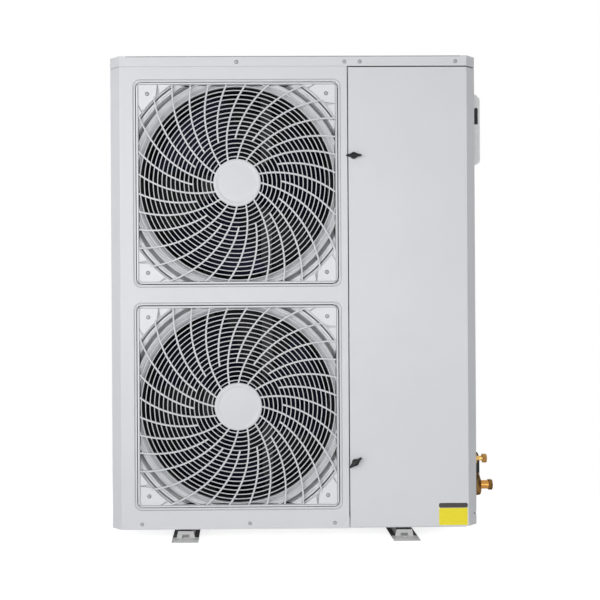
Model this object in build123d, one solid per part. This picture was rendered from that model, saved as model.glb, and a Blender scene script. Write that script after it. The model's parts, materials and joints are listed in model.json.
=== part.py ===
from build123d import *
import os
from math import atan2, cos, degrees, exp, pi, radians, sin, sqrt

# Refrigeration condensing unit: a tall two-fan side-discharge cabinet on two pressed feet.
# Millimetres. X to the right, the front faces -Y, Z up. The origin is on the floor, in the
# middle of the four anchor slots.

# ---------------------------------------------------------------- driving dimensions
WIDTH = 1000.0
DEPTH = 400.0
TOP = 1316.0                    # upper face of the top cover
BOTTOM = 30.0                   # underside of the base pan
SHEET = 1.5                     # casing sheet
CHAMFER_X = 27.5                # sloped front corners: sideways part
CHAMFER_Y = 30.0                # and the part along the depth
LIP = 28.0                      # folded edge of the top cover
SEAM_X = 148.0                  # joint between fan panel and service door
SEAM_GAP = 3.0

FAN_X = -154.0
FAN_Z = (364.0, 970.5)          # lower, upper
FAN_NAMES = ("lower", "upper")
RECESS = 562.0                  # square pressed recess round each grille
RECESS_DEPTH = 8.0
RECESS_BEVEL = 6.0
GRILLE = 546.0
MOUTH_R = 261.0                 # air opening
FLANGE_R = 324.0                # bell mouth flange, seen in the corners of the grille
GROOVE_OUT_R = 302.0            # groove between the flange and the lip of the mouth
GROOVE_IN_R = 291.0
GROOVE_DEPTH = 8.0
LIP_DEPTH = 20.0                # the lip narrows to the throat over this depth
THROAT_DEPTH = 84.0
FAN_R = 250.0
HUB_R = 64.4                    # grille hub disc
RING_FIRST = 71.5
RING_PITCH = 12.0
RIBS = 16                       # long ribs; as many short ones start between them
SHORT_RIB_RING = 4
SCREW_OFFSET = 243.0            # grille screws from the fan axis
ROUND_SIDES = 32                # large rounds are drawn with this many flats, one for each rib

FOOT_X = 300.0                  # feet left and right of the middle
FOOT_WIDTH = 72.0
FOOT_LENGTH = 460.0
FOOT_SHEET = 2.5
SLOT_Y = 182.0
SLOT_LENGTH = 20.0
SLOT_R = 6.0

HINGE_X = 489.0
HINGE_Y = -170.0
PIN_R = 2.5
PIN_BORE_R = 2.55
LATCH_X = 163.5
LATCH_Z = (209.0, 1044.0)       # lower, upper
LATCH_REST = (40.0, 0.0)        # how far each knob stands turned, seen from the front
SHAFT_R = 4.0
SHAFT_BORE_R = 4.05

VALVE_Y = -110.0
LIQUID_Z = 204.0
SUCTION_Z = 130.0
LIQUID_TUBE_R = 4.85
SUCTION_TUBE_R = 8.05

# ---------------------------------------------------------------- derived places
HALF = WIDTH / 2
FRONT = -DEPTH / 2
REAR = DEPTH / 2
FLOOR_TOP = BOTTOM + SHEET      # upper face of the base pan
SKIN_TOP = TOP - LIP - 1.0      # upper edge of the fixed panels
DOOR_TOP = TOP - LIP - SEAM_GAP
DOOR_BOTTOM = BOTTOM + SEAM_GAP
PANEL_EDGE = SEAM_X - SEAM_GAP / 2
DOOR_EDGE = SEAM_X + SEAM_GAP / 2
RECESS_FLOOR = FRONT + RECESS_DEPTH
PARTITION_X = 140.0             # machine side of the partition
JAMB_Y = FRONT + 15.0           # front of the door jamb
INNER = HALF - SHEET            # inner face of the side skins
RIB_FRONT = RECESS_FLOOR - 12.0
RIB_DEPTH = 7.0
DOME = 8.0                      # how far the grille swells at the hub
GRILLE_INNER = GRILLE / 2 - 6.0
RAIL_NEAR = 71.0                # motor rails, from the fan axis
RAIL_FAR = 101.0
RAIL_Y = 45.0
TRAY_Y = -62.0                  # front face of the electrical tray
BRACKET_X = HALF + 21.7         # outer face of the valve bracket
os.makedirs("parts", exist_ok=True)


# ---------------------------------------------------------------- helpers
def block(x0, x1, y0, y1, z0, z1):
    """A box between two corners."""
    middle = Pos((x0 + x1) / 2, (y0 + y1) / 2, (z0 + z1) / 2)
    return middle * Box(x1 - x0, y1 - y0, z1 - z0)


def bar(length, radius, sides):
    """A round bar about the origin along Z; with sides given it is a prism, which has fewer facets."""
    if sides:
        return extrude(RegularPolygon(radius, sides), length / 2, both=True)
    return Cylinder(radius, length)


def rod_x(x0, x1, y, z, radius, sides=0):
    return Pos((x0 + x1) / 2, y, z) * Rot(0, 90, 0) * bar(x1 - x0, radius, sides)


def rod_y(x, y0, y1, z, radius, sides=0):
    return Pos(x, (y0 + y1) / 2, z) * Rot(90, 0, 0) * bar(y1 - y0, radius, sides)


def rod_z(x, y, z0, z1, radius, sides=0):
    return Pos(x, y, (z0 + z1) / 2) * bar(z1 - z0, radius, sides)


def eased_square(side, corner):
    """A square whose corners are rounded by two short flats each."""
    half = side / 2
    points = []
    for turn in (0, 90, 180, 270):
        for angle in (0, 45, 90):
            a = radians(turn + angle)
            t = radians(turn + 45)
            centre = (half - corner) * sqrt(2)
            points.append((centre * cos(t) + corner * cos(a), centre * sin(t) + corner * sin(a)))
    return make_face(Polyline(*points, close=True))


def plan(points, z0, z1):
    """A level plate from its outline seen from above."""
    return Pos(0, 0, z0) * extrude(make_face(Polyline(*points, close=True)), z1 - z0)


def front_view(x, y, z):
    """Drawing plane seen from the front: X right, Z up."""
    return Plane(origin=(x, y, z), x_dir=(1, 0, 0), z_dir=(0, -1, 0))


def pressed(sketch, x, y0, y1, z):
    """A front-view sketch centred on (x, z) and made solid from y0 back to y1."""
    return extrude(front_view(x, y0, z) * sketch, y0 - y1)


def side_view(x, sketch, thickness):
    """A sketch in (Y, Z) made solid from x towards +X."""
    return extrude(Plane(origin=(x, 0, 0), x_dir=(0, 1, 0), z_dir=(1, 0, 0)) * sketch, thickness)


def hexagon_x(x0, x1, y, z, across):
    """A hexagonal nut along X."""
    plane = Plane(origin=(x0, y, z), x_dir=(0, 1, 0), z_dir=(1, 0, 0))
    return extrude(plane * RegularPolygon(across / sqrt(3), 6), x1 - x0)


def casing_face(inset):
    """Outline of the cabinet seen from above, pulled in by the inset."""
    outline = Polyline(
        (-HALF, REAR),
        (-HALF, FRONT + CHAMFER_Y),
        (-HALF + CHAMFER_X, FRONT),
        (HALF - CHAMFER_X, FRONT),
        (HALF, FRONT + CHAMFER_Y),
        (HALF, REAR),
        close=True,
    )
    face = make_face(outline)
    if inset:
        face = offset(face, -inset, kind=Kind.INTERSECTION)
    return face


def casing_band(z0, z1, inset, thickness):
    """An upright wall that follows the cabinet's outline."""
    band = casing_face(inset) - casing_face(inset + thickness)
    return Pos(0, 0, z0) * extrude(band, z1 - z0)


def pipe(points, radius, bend, sides=8):
    """Tube of flats: straight runs, each corner taken in three short mitred runs."""
    stops = [Vector(*point) for point in points]
    route = [stops[0]]
    for before, corner, after in zip(stops, stops[1:], stops[2:]):
        start = corner + (before - corner).normalized() * bend
        end = corner + (after - corner).normalized() * bend
        for share in (0, 1 / 3, 2 / 3, 1):
            route.append(start * (1 - share) ** 2 + corner * 2 * share * (1 - share) + end * share ** 2)
    path = Polyline(*route, stops[-1])
    section = Plane(origin=path @ 0, z_dir=path % 0) * RegularPolygon(radius, sides)
    return sweep(section, path=path, transition=Transition.RIGHT)


def save(name, *pieces):
    """Write one sub-part; several pieces stay separate solids in one file."""
    solids = [solid for piece in pieces for solid in piece.solids()]
    shape = solids[0] if len(solids) == 1 else Compound(children=solids)
    export_step(shape, f"parts/{name}.step")


# ---------------------------------------------------------------- casing
def base_pan():
    outline = [
        (-INNER, REAR - SHEET),
        (-INNER, FRONT + CHAMFER_Y + 0.7),
        (-INNER + CHAMFER_X - 0.7, FRONT + SHEET),
        (PANEL_EDGE - SHEET, FRONT + SHEET),
        (PANEL_EDGE - SHEET, FRONT + 6),
        (HALF - 34, FRONT + 6),
        (HALF - 22, FRONT + 44),
        (INNER, FRONT + 44),
        (INNER, REAR - SHEET),
    ]
    face = make_face(Polyline(*outline, close=True))
    wall = face - offset(face, -SHEET, kind=Kind.INTERSECTION)
    pan = Pos(0, 0, BOTTOM) * (extrude(face, SHEET) + extrude(wall, 30))
    bead = Pos(0, 0, BOTTOM) * (Pos(-154, 0, SHEET) * Box(520, 60, 2 * SHEET))
    drains = [rod_z(x, 60, BOTTOM - 10, BOTTOM + 10, 12, 12) for x in (-400, 60)]
    return pan + bead - drains


def foot(x):
    """Pressed rail: flat floor tabs with slots, a raised hat, arched ends over the slots."""
    half_length = FOOT_LENGTH / 2
    tab = block(-FOOT_WIDTH / 2, FOOT_WIDTH / 2, -half_length, half_length, 0, FOOT_SHEET)
    hat_end = 175.0
    step = 150.0
    low = 20.0

    def hat(width_low, width_high, end, step_at, low_z, high_z, z0):
        slopes = make_face(Polyline(
            (-width_low / 2, z0), (-width_high / 2, high_z), (width_high / 2, high_z),
            (width_low / 2, z0), close=True))
        bar = extrude(front_view(0, -end, 0) * slopes, -2 * end)
        ends = make_face(Polyline(
            (-end, z0), (-end, low_z), (-step_at - 4, low_z), (-step_at + 4, high_z),
            (step_at - 4, high_z), (step_at + 4, low_z), (end, low_z), (end, z0), close=True))
        return bar & side_view(-FOOT_WIDTH, ends, 2 * FOOT_WIDTH)

    outer = hat(51, 38, hat_end, step, low, BOTTOM, 0)
    t = FOOT_SHEET
    inner = hat(51 - 2 * t, 38 - 2 * t, hat_end - t, step - t, low - t, BOTTOM - t, 0)
    rail = tab + outer - inner
    for y in (-SLOT_Y, SLOT_Y):
        rail -= Pos(0, y, 0) * extrude(SlotOverall(SLOT_LENGTH, 2 * SLOT_R), 2 * FOOT_SHEET)
        rail -= block(-SLOT_LENGTH / 2, SLOT_LENGTH / 2, y - 9, y + 9, FOOT_SHEET, FOOT_SHEET + 8)
    return Pos(x, 0, 0) * rail


def top_cover():
    cover = casing_band(TOP - LIP, TOP, 0, SHEET)
    cover += Pos(0, 0, TOP - SHEET) * extrude(casing_face(0), SHEET)
    return cover


def recess_form(face_y, grow):
    """Tapered block with the shape of one pressed recess."""
    outer = eased_square(RECESS + grow, 20)
    inner = eased_square(RECESS - 2 * RECESS_BEVEL + grow, 16)
    return loft([front_view(0, face_y, 0) * outer, front_view(0, face_y + RECESS_DEPTH, 0) * inner])


def fan_panel():
    region = block(-HALF, PANEL_EDGE, FRONT, FRONT + 65, BOTTOM, TOP)
    panel = casing_band(BOTTOM, SKIN_TOP, 0, SHEET) & region
    panel += block(-HALF + CHAMFER_X + 2, PANEL_EDGE - SHEET, FRONT + SHEET, FRONT + 2 * SHEET, TOP - 46, TOP - 8)
    panel += block(PANEL_EDGE - SHEET, PANEL_EDGE, FRONT + SHEET, JAMB_Y, BOTTOM + 32, SKIN_TOP)
    opening = RegularPolygon(FLANGE_R - 16, ROUND_SIDES) & eased_square(RECESS - 18, 14)
    for z in FAN_Z:
        place = Pos(FAN_X, 0, z)
        panel += place * recess_form(FRONT + SHEET, 1.0)
        panel -= place * recess_form(FRONT, 0.0)
        panel -= pressed(opening, FAN_X, FRONT, FRONT + 20, z)
    return panel


def round_wall(inner, outer, y0, y1):
    """A ring round the fan axis, drawn with flats."""
    return pressed(RegularPolygon(outer, ROUND_SIDES) - RegularPolygon(inner, ROUND_SIDES), 0, y0, y1, 0)


def bell_mouth(z):
    """Air ring: square-cut flange on the recess floor, a groove, then a coned lip and the throat."""
    floor = RECESS_FLOOR
    wall = 2.0
    groove = floor + GROOVE_DEPTH
    flange = RegularPolygon(FLANGE_R, ROUND_SIDES) & eased_square(2 * GRILLE_INNER - 2, 8)
    flange -= RegularPolygon(GROOVE_OUT_R, ROUND_SIDES)
    ring = pressed(flange, 0, floor - wall, floor, 0)
    ring += round_wall(GROOVE_OUT_R, GROOVE_OUT_R + wall, floor - wall, groove)
    ring += round_wall(GROOVE_IN_R, GROOVE_OUT_R, groove - wall, groove)
    ring += round_wall(GROOVE_IN_R - wall, GROOVE_IN_R, floor - wall, groove)
    depth = LIP_DEPTH + wall
    slope = degrees(atan2((GROOVE_IN_R - wall - MOUTH_R) * cos(pi / ROUND_SIDES), depth))
    cones = []
    for grow in (wall, 0):
        edge = front_view(0, floor - wall, 0) * RegularPolygon(GROOVE_IN_R - wall + grow, ROUND_SIDES)
        cones.append(extrude(edge, depth, dir=(0, 1, 0), taper=slope))
    ring += cones[0] - cones[1]
    ring += round_wall(MOUTH_R, MOUTH_R + wall, floor + LIP_DEPTH, floor + THROAT_DEPTH)
    side = eased_square(2 * GRILLE_INNER - 2, 8)
    ring &= pressed(side, 0, floor - wall, floor + THROAT_DEPTH, 0)
    return Pos(FAN_X, 0, z) * ring


# ---------------------------------------------------------------- grilles
def rib_turn(radius):
    """Angle that a swirl rib has turned at a radius, from the hub: quick at first, then even."""
    run = radius - HUB_R
    return -0.124 * run - 1.9 * (1 - exp(-run / 27))


def rib_end(start_angle):
    """Radius at which a rib meets the frame or a corner plate."""
    radius = 200.0
    while radius < FLANGE_R - 2:
        angle = radians(start_angle + rib_turn(radius))
        if radius * max(abs(cos(angle)), abs(sin(angle))) > GRILLE_INNER:
            break
        radius += 1.0
    return radius + 0.5


def rib_front(radius):
    """Depth of the rib's front edge: the grille is slightly domed."""
    return RIB_FRONT - DOME * max(0.0, 1 - (radius / GRILLE_INNER) ** 2)


def swirl_rib(start_angle, start_radius, stations):
    """One curved rib, lofted through small rectangles."""
    end = rib_end(start_angle)
    sections = []
    for i in range(stations):
        radius = start_radius + (end - start_radius) * i / (stations - 1)
        angle = start_angle + rib_turn(radius)
        slope = degrees(atan2(radius * radians(-0.13), 1.0))
        middle = (radius * cos(radians(angle)), rib_front(radius) + RIB_DEPTH / 2, radius * sin(radians(angle)))
        along = radians(angle + slope)
        plane = Plane(origin=middle, x_dir=(0, 1, 0), z_dir=(cos(along), 0, sin(along)))
        sections.append(plane * Rectangle(RIB_DEPTH, 2.4))
    return loft(sections, ruled=True)


def grille(z):
    """Square moulded guard: frame with corner plates, hub disc, swirl ribs and carrying rings."""
    frame = eased_square(GRILLE, 16) - eased_square(2 * GRILLE_INNER, 10)
    rim = pressed(frame, 0, RIB_FRONT, RECESS_FLOOR, 0)
    corners = eased_square(2 * GRILLE_INNER + 4, 10) - RegularPolygon(FLANGE_R - 2, ROUND_SIDES)
    rim += pressed(corners, 0, RIB_FRONT + 2, RIB_FRONT + 4.5, 0)
    for x in (-SCREW_OFFSET, SCREW_OFFSET):
        for up in (-SCREW_OFFSET, SCREW_OFFSET):
            rim += rod_y(x, RIB_FRONT + 3, RECESS_FLOOR, up, 7, 8)
    hub_front = RIB_FRONT - DOME - 2
    hub = rod_y(0, hub_front, hub_front + 10, 0, HUB_R, ROUND_SIDES)
    ribs = []
    for i in range(RIBS):
        start = -0.7 + 360 / RIBS * i
        ribs.append(swirl_rib(start, HUB_R - 1, 4) - hub - rim)
        ribs.append(swirl_rib(start + 180 / RIBS, RING_FIRST + RING_PITCH * SHORT_RIB_RING, 3) - rim)
    rings = []
    for k in (SHORT_RIB_RING, SHORT_RIB_RING + 8):
        radius = RING_FIRST + RING_PITCH * k
        front = rib_front(radius + 1.2) + RIB_DEPTH
        band = RegularPolygon(radius + 1.2, ROUND_SIDES) - RegularPolygon(radius - 1.2, ROUND_SIDES)
        rings.append(pressed(band, 0, front, front + 2.5, 0))
    place = Pos(FAN_X, 0, z)
    return [place * piece for piece in [rim, hub] + ribs + rings]


# ---------------------------------------------------------------- fans and motors
HUB_FRONT_Y = -150.0
HUB_BACK_Y = -75.0
BLADE_Y = -92.0
BLADE_BEND_R = 700.0
BLADE_PITCH = 16.0
SHAFT_END_Y = -30.0
MOTOR_SHAFT_R = 6.0


def polar(radius, angle):
    return (radius * cos(radians(angle)), radius * sin(radians(angle)))


def fan_blade(turn):
    """Sickle blade: its outline cut from a bent, pitched sheet."""
    root, tip = 62.0, FAN_R
    leading = ThreePointArc(polar(root, 38), polar(150, 44), polar(tip, 53))
    trailing = ThreePointArc(polar(root, -38), polar(150, -29), polar(tip, -19))
    edge = ThreePointArc(polar(tip, 53), polar(tip, 17), polar(tip, -19))
    inner = ThreePointArc(polar(root, 38), polar(root, 0), polar(root, -38))
    outline = make_face(Wire([inner, trailing, edge, leading]))
    cutter = pressed(outline, 0, -200, -40, 0)
    centre_t = BLADE_BEND_R * sin(radians(BLADE_PITCH))
    centre_y = BLADE_Y - BLADE_BEND_R * cos(radians(BLADE_PITCH))
    sheet = rod_x(-20, FAN_R + 20, centre_y, centre_t, BLADE_BEND_R + 1.75)
    sheet -= rod_x(-30, FAN_R + 30, centre_y, centre_t, BLADE_BEND_R - 1.75)
    blade = cutter & (Rot(0, -8, 0) * sheet)
    return Rot(0, -turn, 0) * blade


def fan(z):
    hub = rod_y(0, HUB_FRONT_Y, HUB_BACK_Y, 0, 66, 20)
    hub -= rod_y(0, HUB_FRONT_Y + 5, HUB_BACK_Y, 0, 61, 20)
    hub += rod_y(0, HUB_FRONT_Y, HUB_BACK_Y, 0, 14, 12)
    wheel = hub + [fan_blade(turn) for turn in (-1.6, 118.4, 238.4)]
    wheel -= rod_y(0, HUB_FRONT_Y - 5, HUB_BACK_Y + 5, 0, MOTOR_SHAFT_R / cos(pi / 12), 12)
    return Pos(FAN_X, 0, z) * wheel


def fan_shaft(z):
    return rod_y(FAN_X, HUB_FRONT_Y - 8, SHAFT_END_Y, z, MOTOR_SHAFT_R)


def fan_nut(z):
    nut = RegularPolygon(11, 6) - RegularPolygon(MOTOR_SHAFT_R + 0.4, 12)
    return pressed(nut, FAN_X, HUB_FRONT_Y - 8, HUB_FRONT_Y, z)


def motor(z):
    body = rod_y(0, -60, 38, 0, 62, 16)
    body += rod_y(0, -70, -60, 0, 20, 12)
    body += block(-6, 6, -10, 14, -70, 70)
    body -= rod_y(0, -71, SHAFT_END_Y + 2, 0, MOTOR_SHAFT_R + 0.05)
    return Pos(FAN_X, 0, z) * body


def motor_bracket(z):
    """Two bars behind each motor, across the rails."""
    return [block(FAN_X - RAIL_FAR, FAN_X + RAIL_FAR, RAIL_Y - 7, RAIL_Y, z + dz - 8, z + dz + 8)
            for dz in (-42, 42)]


def motor_rail(side):
    near = FAN_X + side * RAIL_NEAR
    far = FAN_X + side * RAIL_FAR
    x0, x1 = min(near, far), max(near, far)
    rail = block(x0, x1, RAIL_Y, RAIL_Y + 25, FLOOR_TOP, TOP - SHEET)
    return rail - block(x0 + 2, x1 - 2, RAIL_Y + 2, RAIL_Y + 30, 0, TOP + 10)


# ---------------------------------------------------------------- fixed panels
def right_side_panel():
    front_y = HINGE_Y + 7
    panel = block(INNER, HALF, front_y, REAR, BOTTOM, SKIN_TOP)
    panel += block(INNER - SHEET, INNER, front_y + 7, REAR - 2 * SHEET, TOP - 46, TOP - SHEET)
    panel -= block(INNER - 5, HALF + 5, VALVE_Y - 30, VALVE_Y + 30, SUCTION_Z - 22, LIQUID_Z + 14)
    return panel


def rear_panel():
    x0 = 100.0
    panel = block(x0, INNER, REAR - SHEET, REAR, BOTTOM, SKIN_TOP)
    panel += block(x0, INNER - SHEET, REAR - 2 * SHEET, REAR - SHEET, TOP - 46, TOP - SHEET)
    for i in range(6):
        panel -= block(380, 460, REAR - 5, REAR + 5, 1100 + 18 * i, 1106 + 18 * i)
    return panel


def corner_post():
    post = block(-HALF, -INNER, REAR - 35, REAR, BOTTOM, SKIN_TOP)
    post += block(-INNER, -HALF + 35, REAR - SHEET, REAR, BOTTOM, SKIN_TOP)
    inner = block(-INNER, -INNER + SHEET, REAR - 35, REAR - SHEET, TOP - 46, TOP - SHEET)
    return post + inner


def partition():
    """Plate with a riveted door jamb, a coil closing strip and a foot strip."""
    wall = block(PARTITION_X - SHEET, PARTITION_X, JAMB_Y + SHEET, 138, FLOOR_TOP, TOP - SHEET)
    jamb = block(PARTITION_X - SHEET, 157, JAMB_Y, JAMB_Y + SHEET, FLOOR_TOP + 32, TOP - SHEET)
    strip = block(120, PARTITION_X - SHEET, 138 - SHEET, 138, FLOOR_TOP, TOP - SHEET)
    foot_strip = block(PARTITION_X, PARTITION_X + 15, JAMB_Y + 20, 130, FLOOR_TOP, FLOOR_TOP + SHEET)
    return [wall, jamb, strip, foot_strip]


def door_seal():
    return block(151.5, 156.5, JAMB_Y - 3, JAMB_Y, BOTTOM + 40, DOOR_TOP - 10)


def door_header():
    """Angle behind the lip above the door."""
    x1 = HALF - CHAMFER_X - 4
    bar = block(PANEL_EDGE, x1, FRONT + SHEET, FRONT + 2 * SHEET, TOP - 26, TOP - SHEET)
    return bar + block(160, x1, FRONT + 2 * SHEET, FRONT + 22, TOP - 2 * SHEET, TOP - SHEET)


def guard_wires(horizontal, vertical):
    return [block(*wire) for wire in horizontal + vertical]


def rear_guard():
    horizontal = [(-495, 115, REAR - 4, REAR - SHEET, z, z + 2.5) for z in range(78, 1260, 84)]
    vertical = [(x, x + 2.5, REAR - 6.5, REAR - 4, 62, 1262) for x in range(-430, 80, 96)]
    return guard_wires(horizontal, vertical)


def left_guard():
    horizontal = [(-INNER, -INNER + 2.5, -150, 180, z, z + 2.5) for z in range(78, 1260, 84)]
    vertical = [(-INNER + 2.5, -INNER + 5, y, y + 2.5, 62, 1262) for y in range(-100, 160, 100)]
    return guard_wires(horizontal, vertical)


# ---------------------------------------------------------------- coil
COIL_OUT = 12.0                 # from the casing to the coil
COIL_THICK = 44.0
COIL_RIGHT = 118.0


def coil():
    left, back = -HALF + COIL_OUT, REAR - 10
    outer = make_face(Polyline((left, -150), (COIL_RIGHT, -150), (COIL_RIGHT, back), (left, back), close=True))
    outer = fillet(outer.vertices().sort_by(Axis.Y)[-2:].sort_by(Axis.X)[0], 82)
    t = COIL_THICK
    inner = make_face(Polyline(
        (left + t, -160), (COIL_RIGHT + 10, -160), (COIL_RIGHT + 10, back - t), (left + t, back - t), close=True))
    inner = fillet(inner.vertices().sort_by(Axis.Y)[-2:].sort_by(Axis.X)[0], 82 - t)
    return Pos(0, 0, FLOOR_TOP) * extrude(outer - inner, TOP - SHEET - 20 - FLOOR_TOP)


def coil_end_plates():
    back = REAR - 10
    height = TOP - SHEET - 20
    right = block(COIL_RIGHT, COIL_RIGHT + 2, 136, back + 4, FLOOR_TOP, height)
    left = block(-HALF + 8, -HALF + COIL_OUT + COIL_THICK + 4, -152, -150, FLOOR_TOP, height)
    return [right, left]


def return_bends():
    """Hairpin ends of the coil tubes, standing out of the end plate."""
    bends = []
    for i in range(4):
        z = 160 + 300 * i
        x = COIL_RIGHT + 2
        bends.append(pipe([(x, 168, z - 12), (x + 15, 168, z - 12), (x + 15, 168, z + 12), (x, 168, z + 12)], 5, 11, 6))
    return bends


# ---------------------------------------------------------------- machine compartment
VESSEL_SIDES = 20
COMPRESSOR = (330.0, 30.0)
COMPRESSOR_R = 80.0
COMPRESSOR_FEET = ((430.0, 30.0), (280.0, 117.0), (280.0, -57.0))
RECEIVER = (215.0, 130.0)
ACCUMULATOR = (430.0, 127.0)
LIQUID_LINE = (474.0, -110.0)   # filter drier and sight glass hang on this upright


def vessel(x, y, z0, z1, radius, shoulder):
    """Pressed vessel: straight shell with coned ends."""
    rise = shoulder * 0.6
    body = rod_z(x, y, z0 + rise, z1 - rise, radius, VESSEL_SIDES)
    slope = degrees(atan2(shoulder * cos(pi / VESSEL_SIDES), rise))
    for z, up in ((z0 + rise, -1), (z1 - rise, 1)):
        shell_end = Pos(x, y, z) * RegularPolygon(radius, VESSEL_SIDES)
        body += extrude(shell_end, rise, dir=(0, 0, up), taper=slope)
    return body


def compressor():
    x, y = COMPRESSOR
    shell = vessel(x, y, 54, 430, COMPRESSOR_R, 22)
    plate = plan(COMPRESSOR_FEET, 50, 54) + [rod_z(fx, fy, 50, 54, 18, 12) for fx, fy in COMPRESSOR_FEET]
    plate -= [rod_z(fx, fy, 40, 60, 6, 8) for fx, fy in COMPRESSOR_FEET]
    return shell + plate + rod_z(x, y, 425, 446, 9, 8)


def rubber_feet():
    return [rod_z(x, y, FLOOR_TOP, 50, 14, 8) - rod_z(x, y, 0, 60, 5.5, 8) for x, y in COMPRESSOR_FEET]


def compressor_bolts():
    bolts = []
    for x, y in COMPRESSOR_FEET:
        head = Pos(x, y, 54) * extrude(RegularPolygon(9, 6), 6)
        bolts.append(rod_z(x, y, FLOOR_TOP, 54, 5, 8) + head)
    return bolts


def compressor_terminals():
    x, y = COMPRESSOR
    cap = block(x - 28, x + 28, y - COMPRESSOR_R - 26, y - 60, 250, 320)
    return cap - rod_z(x, y, 200, 400, COMPRESSOR_R, VESSEL_SIDES)


def receiver():
    x, y = RECEIVER
    return vessel(x, y, 60, 370, 50, 18) + rod_z(x, y, FLOOR_TOP, 62, 26, 12) + rod_z(x, y, 365, 382, 8, 8)


def accumulator():
    x, y = ACCUMULATOR
    cx, cy = COMPRESSOR
    link_turn = degrees(atan2(y - cy, x - cx))
    link = Pos(x, y, 330) * Rot(0, 0, link_turn) * Pos(-50, 0, 0) * Rot(0, 90, 0) * bar(40, 8, 8)
    link -= rod_z(cx, cy, 300, 360, COMPRESSOR_R, VESSEL_SIDES)
    body = vessel(x, y, 60, 400, 44, 16)
    return body + rod_z(x, y, FLOOR_TOP, 62, 22, 12) + rod_z(x, y, 395, 410, 10, 8) + link


def filter_drier():
    x, y = LIQUID_LINE
    return vessel(x, y, 330, 450, 22, 12)


def sight_glass():
    x, y = LIQUID_LINE
    return rod_z(x, y, 288, 330, 13, 6) + rod_y(x, y - 20, y, 309, 12, 12)


def discharge_pipe():
    x, y = COMPRESSOR
    return pipe([(x, y, 446), (x, y, 760), (165, 168, 760), (165, 168, 1216), (120, 168, 1216)], 8, 26)


def suction_pipe():
    x, y = ACCUMULATOR
    return pipe([(x, y, 410), (x, y, 520), (x, VALVE_Y, 520), (x, VALVE_Y, SUCTION_Z), (494, VALVE_Y, SUCTION_Z)],
                9, 26)


def liquid_pipe():
    x, y = LIQUID_LINE
    return pipe([(x, y, 288), (x, y, LIQUID_Z), (HALF - 4, y, LIQUID_Z)], 6, 16)


def receiver_pipe():
    x, y = LIQUID_LINE
    rx, ry = RECEIVER
    return pipe([(rx, ry, 382), (rx, ry, 600), (rx, y, 600), (x, y, 600), (x, y, 450)], 6, 22)


def condenser_outlet_pipe():
    rx, ry = RECEIVER
    return rod_x(120, rx - 40, ry + 15, 100, 6, 8) - rod_z(rx, ry, 60, 370, 50, VESSEL_SIDES)


def pressure_switches():
    """High side on the discharge pipe, low side on the suction pipe."""
    x, y = COMPRESSOR
    ax = ACCUMULATOR[0]
    return [rod_y(x, y - 40, y - 8, 620, 11, 12), rod_y(ax, VALVE_Y - 40, VALVE_Y - 9, 360, 11, 12)]


# ---------------------------------------------------------------- electrical
def electrical_tray():
    tray = block(PARTITION_X, INNER, TRAY_Y, TRAY_Y + SHEET, 905, 1262)
    tray += block(PARTITION_X, INNER, TRAY_Y - 70, TRAY_Y, 905, 905 + SHEET)
    tray += block(PARTITION_X, PARTITION_X + SHEET, TRAY_Y - 70, TRAY_Y, 905, 1262)
    tray += block(INNER - SHEET, INNER, TRAY_Y - 40, TRAY_Y, 905, 1262)
    return tray


def contactor():
    body = block(175, 240, TRAY_Y - 60, TRAY_Y, 1130, 1212)
    body += block(184, 231, TRAY_Y - 76, TRAY_Y - 60, 1148, 1194)
    return body - [block(x, x + 11, TRAY_Y - 62, TRAY_Y - 48, z, z + 10)
                   for x in (180, 202, 224) for z in (1132, 1200)]


def capacitor():
    return rod_z(285, TRAY_Y - 25, 1130, 1215, 25, 20)


def terminal_block():
    body = block(175, 305, TRAY_Y - 34, TRAY_Y, 940, 975)
    return body - [block(180 + 21 * i, 195 + 21 * i, TRAY_Y - 36, TRAY_Y - 20, 938, 977) for i in range(6)]


def controller_board():
    board = block(335, 475, TRAY_Y - 12, TRAY_Y - 10, 1040, 1220)
    board += [block(x, x + 8, TRAY_Y - 10, TRAY_Y, z, z + 8) for x in (340, 462) for z in (1046, 1206)]
    board += [block(345 + 30 * i, 367 + 30 * i, TRAY_Y - 32, TRAY_Y - 12, 1180, 1204) for i in range(4)]
    board += block(350, 400, TRAY_Y - 44, TRAY_Y - 12, 1070, 1112)
    return board


# ---------------------------------------------------------------- right side fittings
COVER_Z = (1027.0, 1220.0)
COVER_Y = (-140.0, -20.0)


def terminal_cover_solid(inset, x1):
    """Moulded cover: sloped top, rounded lower edge."""
    z0, z1 = COVER_Z[0] + inset, COVER_Z[1] - inset
    y0, y1 = COVER_Y[0] + inset, COVER_Y[1] - inset
    body = block(HALF, x1, y0, y1, z0, z1)
    return chamfer(body.edges().group_by(Axis.X)[-1].sort_by(Axis.Z)[-1], 12 - inset)


def terminal_cover():
    outer = terminal_cover_solid(0, HALF + 22)
    outer = fillet(outer.edges().group_by(Axis.X)[-1].sort_by(Axis.Z)[0], 10)
    hollow = block(HALF - 1, HALF + 19.5, COVER_Y[0] + 2.5, COVER_Y[1] - 2.5, COVER_Z[0] + 12, COVER_Z[1] - 14)
    slot = block(HALF + 6, HALF + 16, COVER_Y[0] - 1, COVER_Y[0] + 5, 1137, 1181)
    return outer - hollow - slot


def cable_membrane():
    """Rubber blank in the cover's cable slot."""
    return block(HALF + 6, HALF + 16, COVER_Y[0] + 0.5, COVER_Y[0] + 2.5, 1137, 1181)


def valve_bracket():
    shell = block(HALF, BRACKET_X, VALVE_Y - 40, VALVE_Y + 40, SUCTION_Z - 34, LIQUID_Z + 22)
    shell -= block(HALF - 1, BRACKET_X - 3, VALVE_Y - 37, VALVE_Y + 37, SUCTION_Z - 31, LIQUID_Z + 19)
    shell -= rod_x(HALF, BRACKET_X + 5, VALVE_Y, LIQUID_Z, 8.2, 12)
    shell -= rod_x(HALF, BRACKET_X + 5, VALVE_Y, SUCTION_Z, 12, 12)
    return shell


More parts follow.
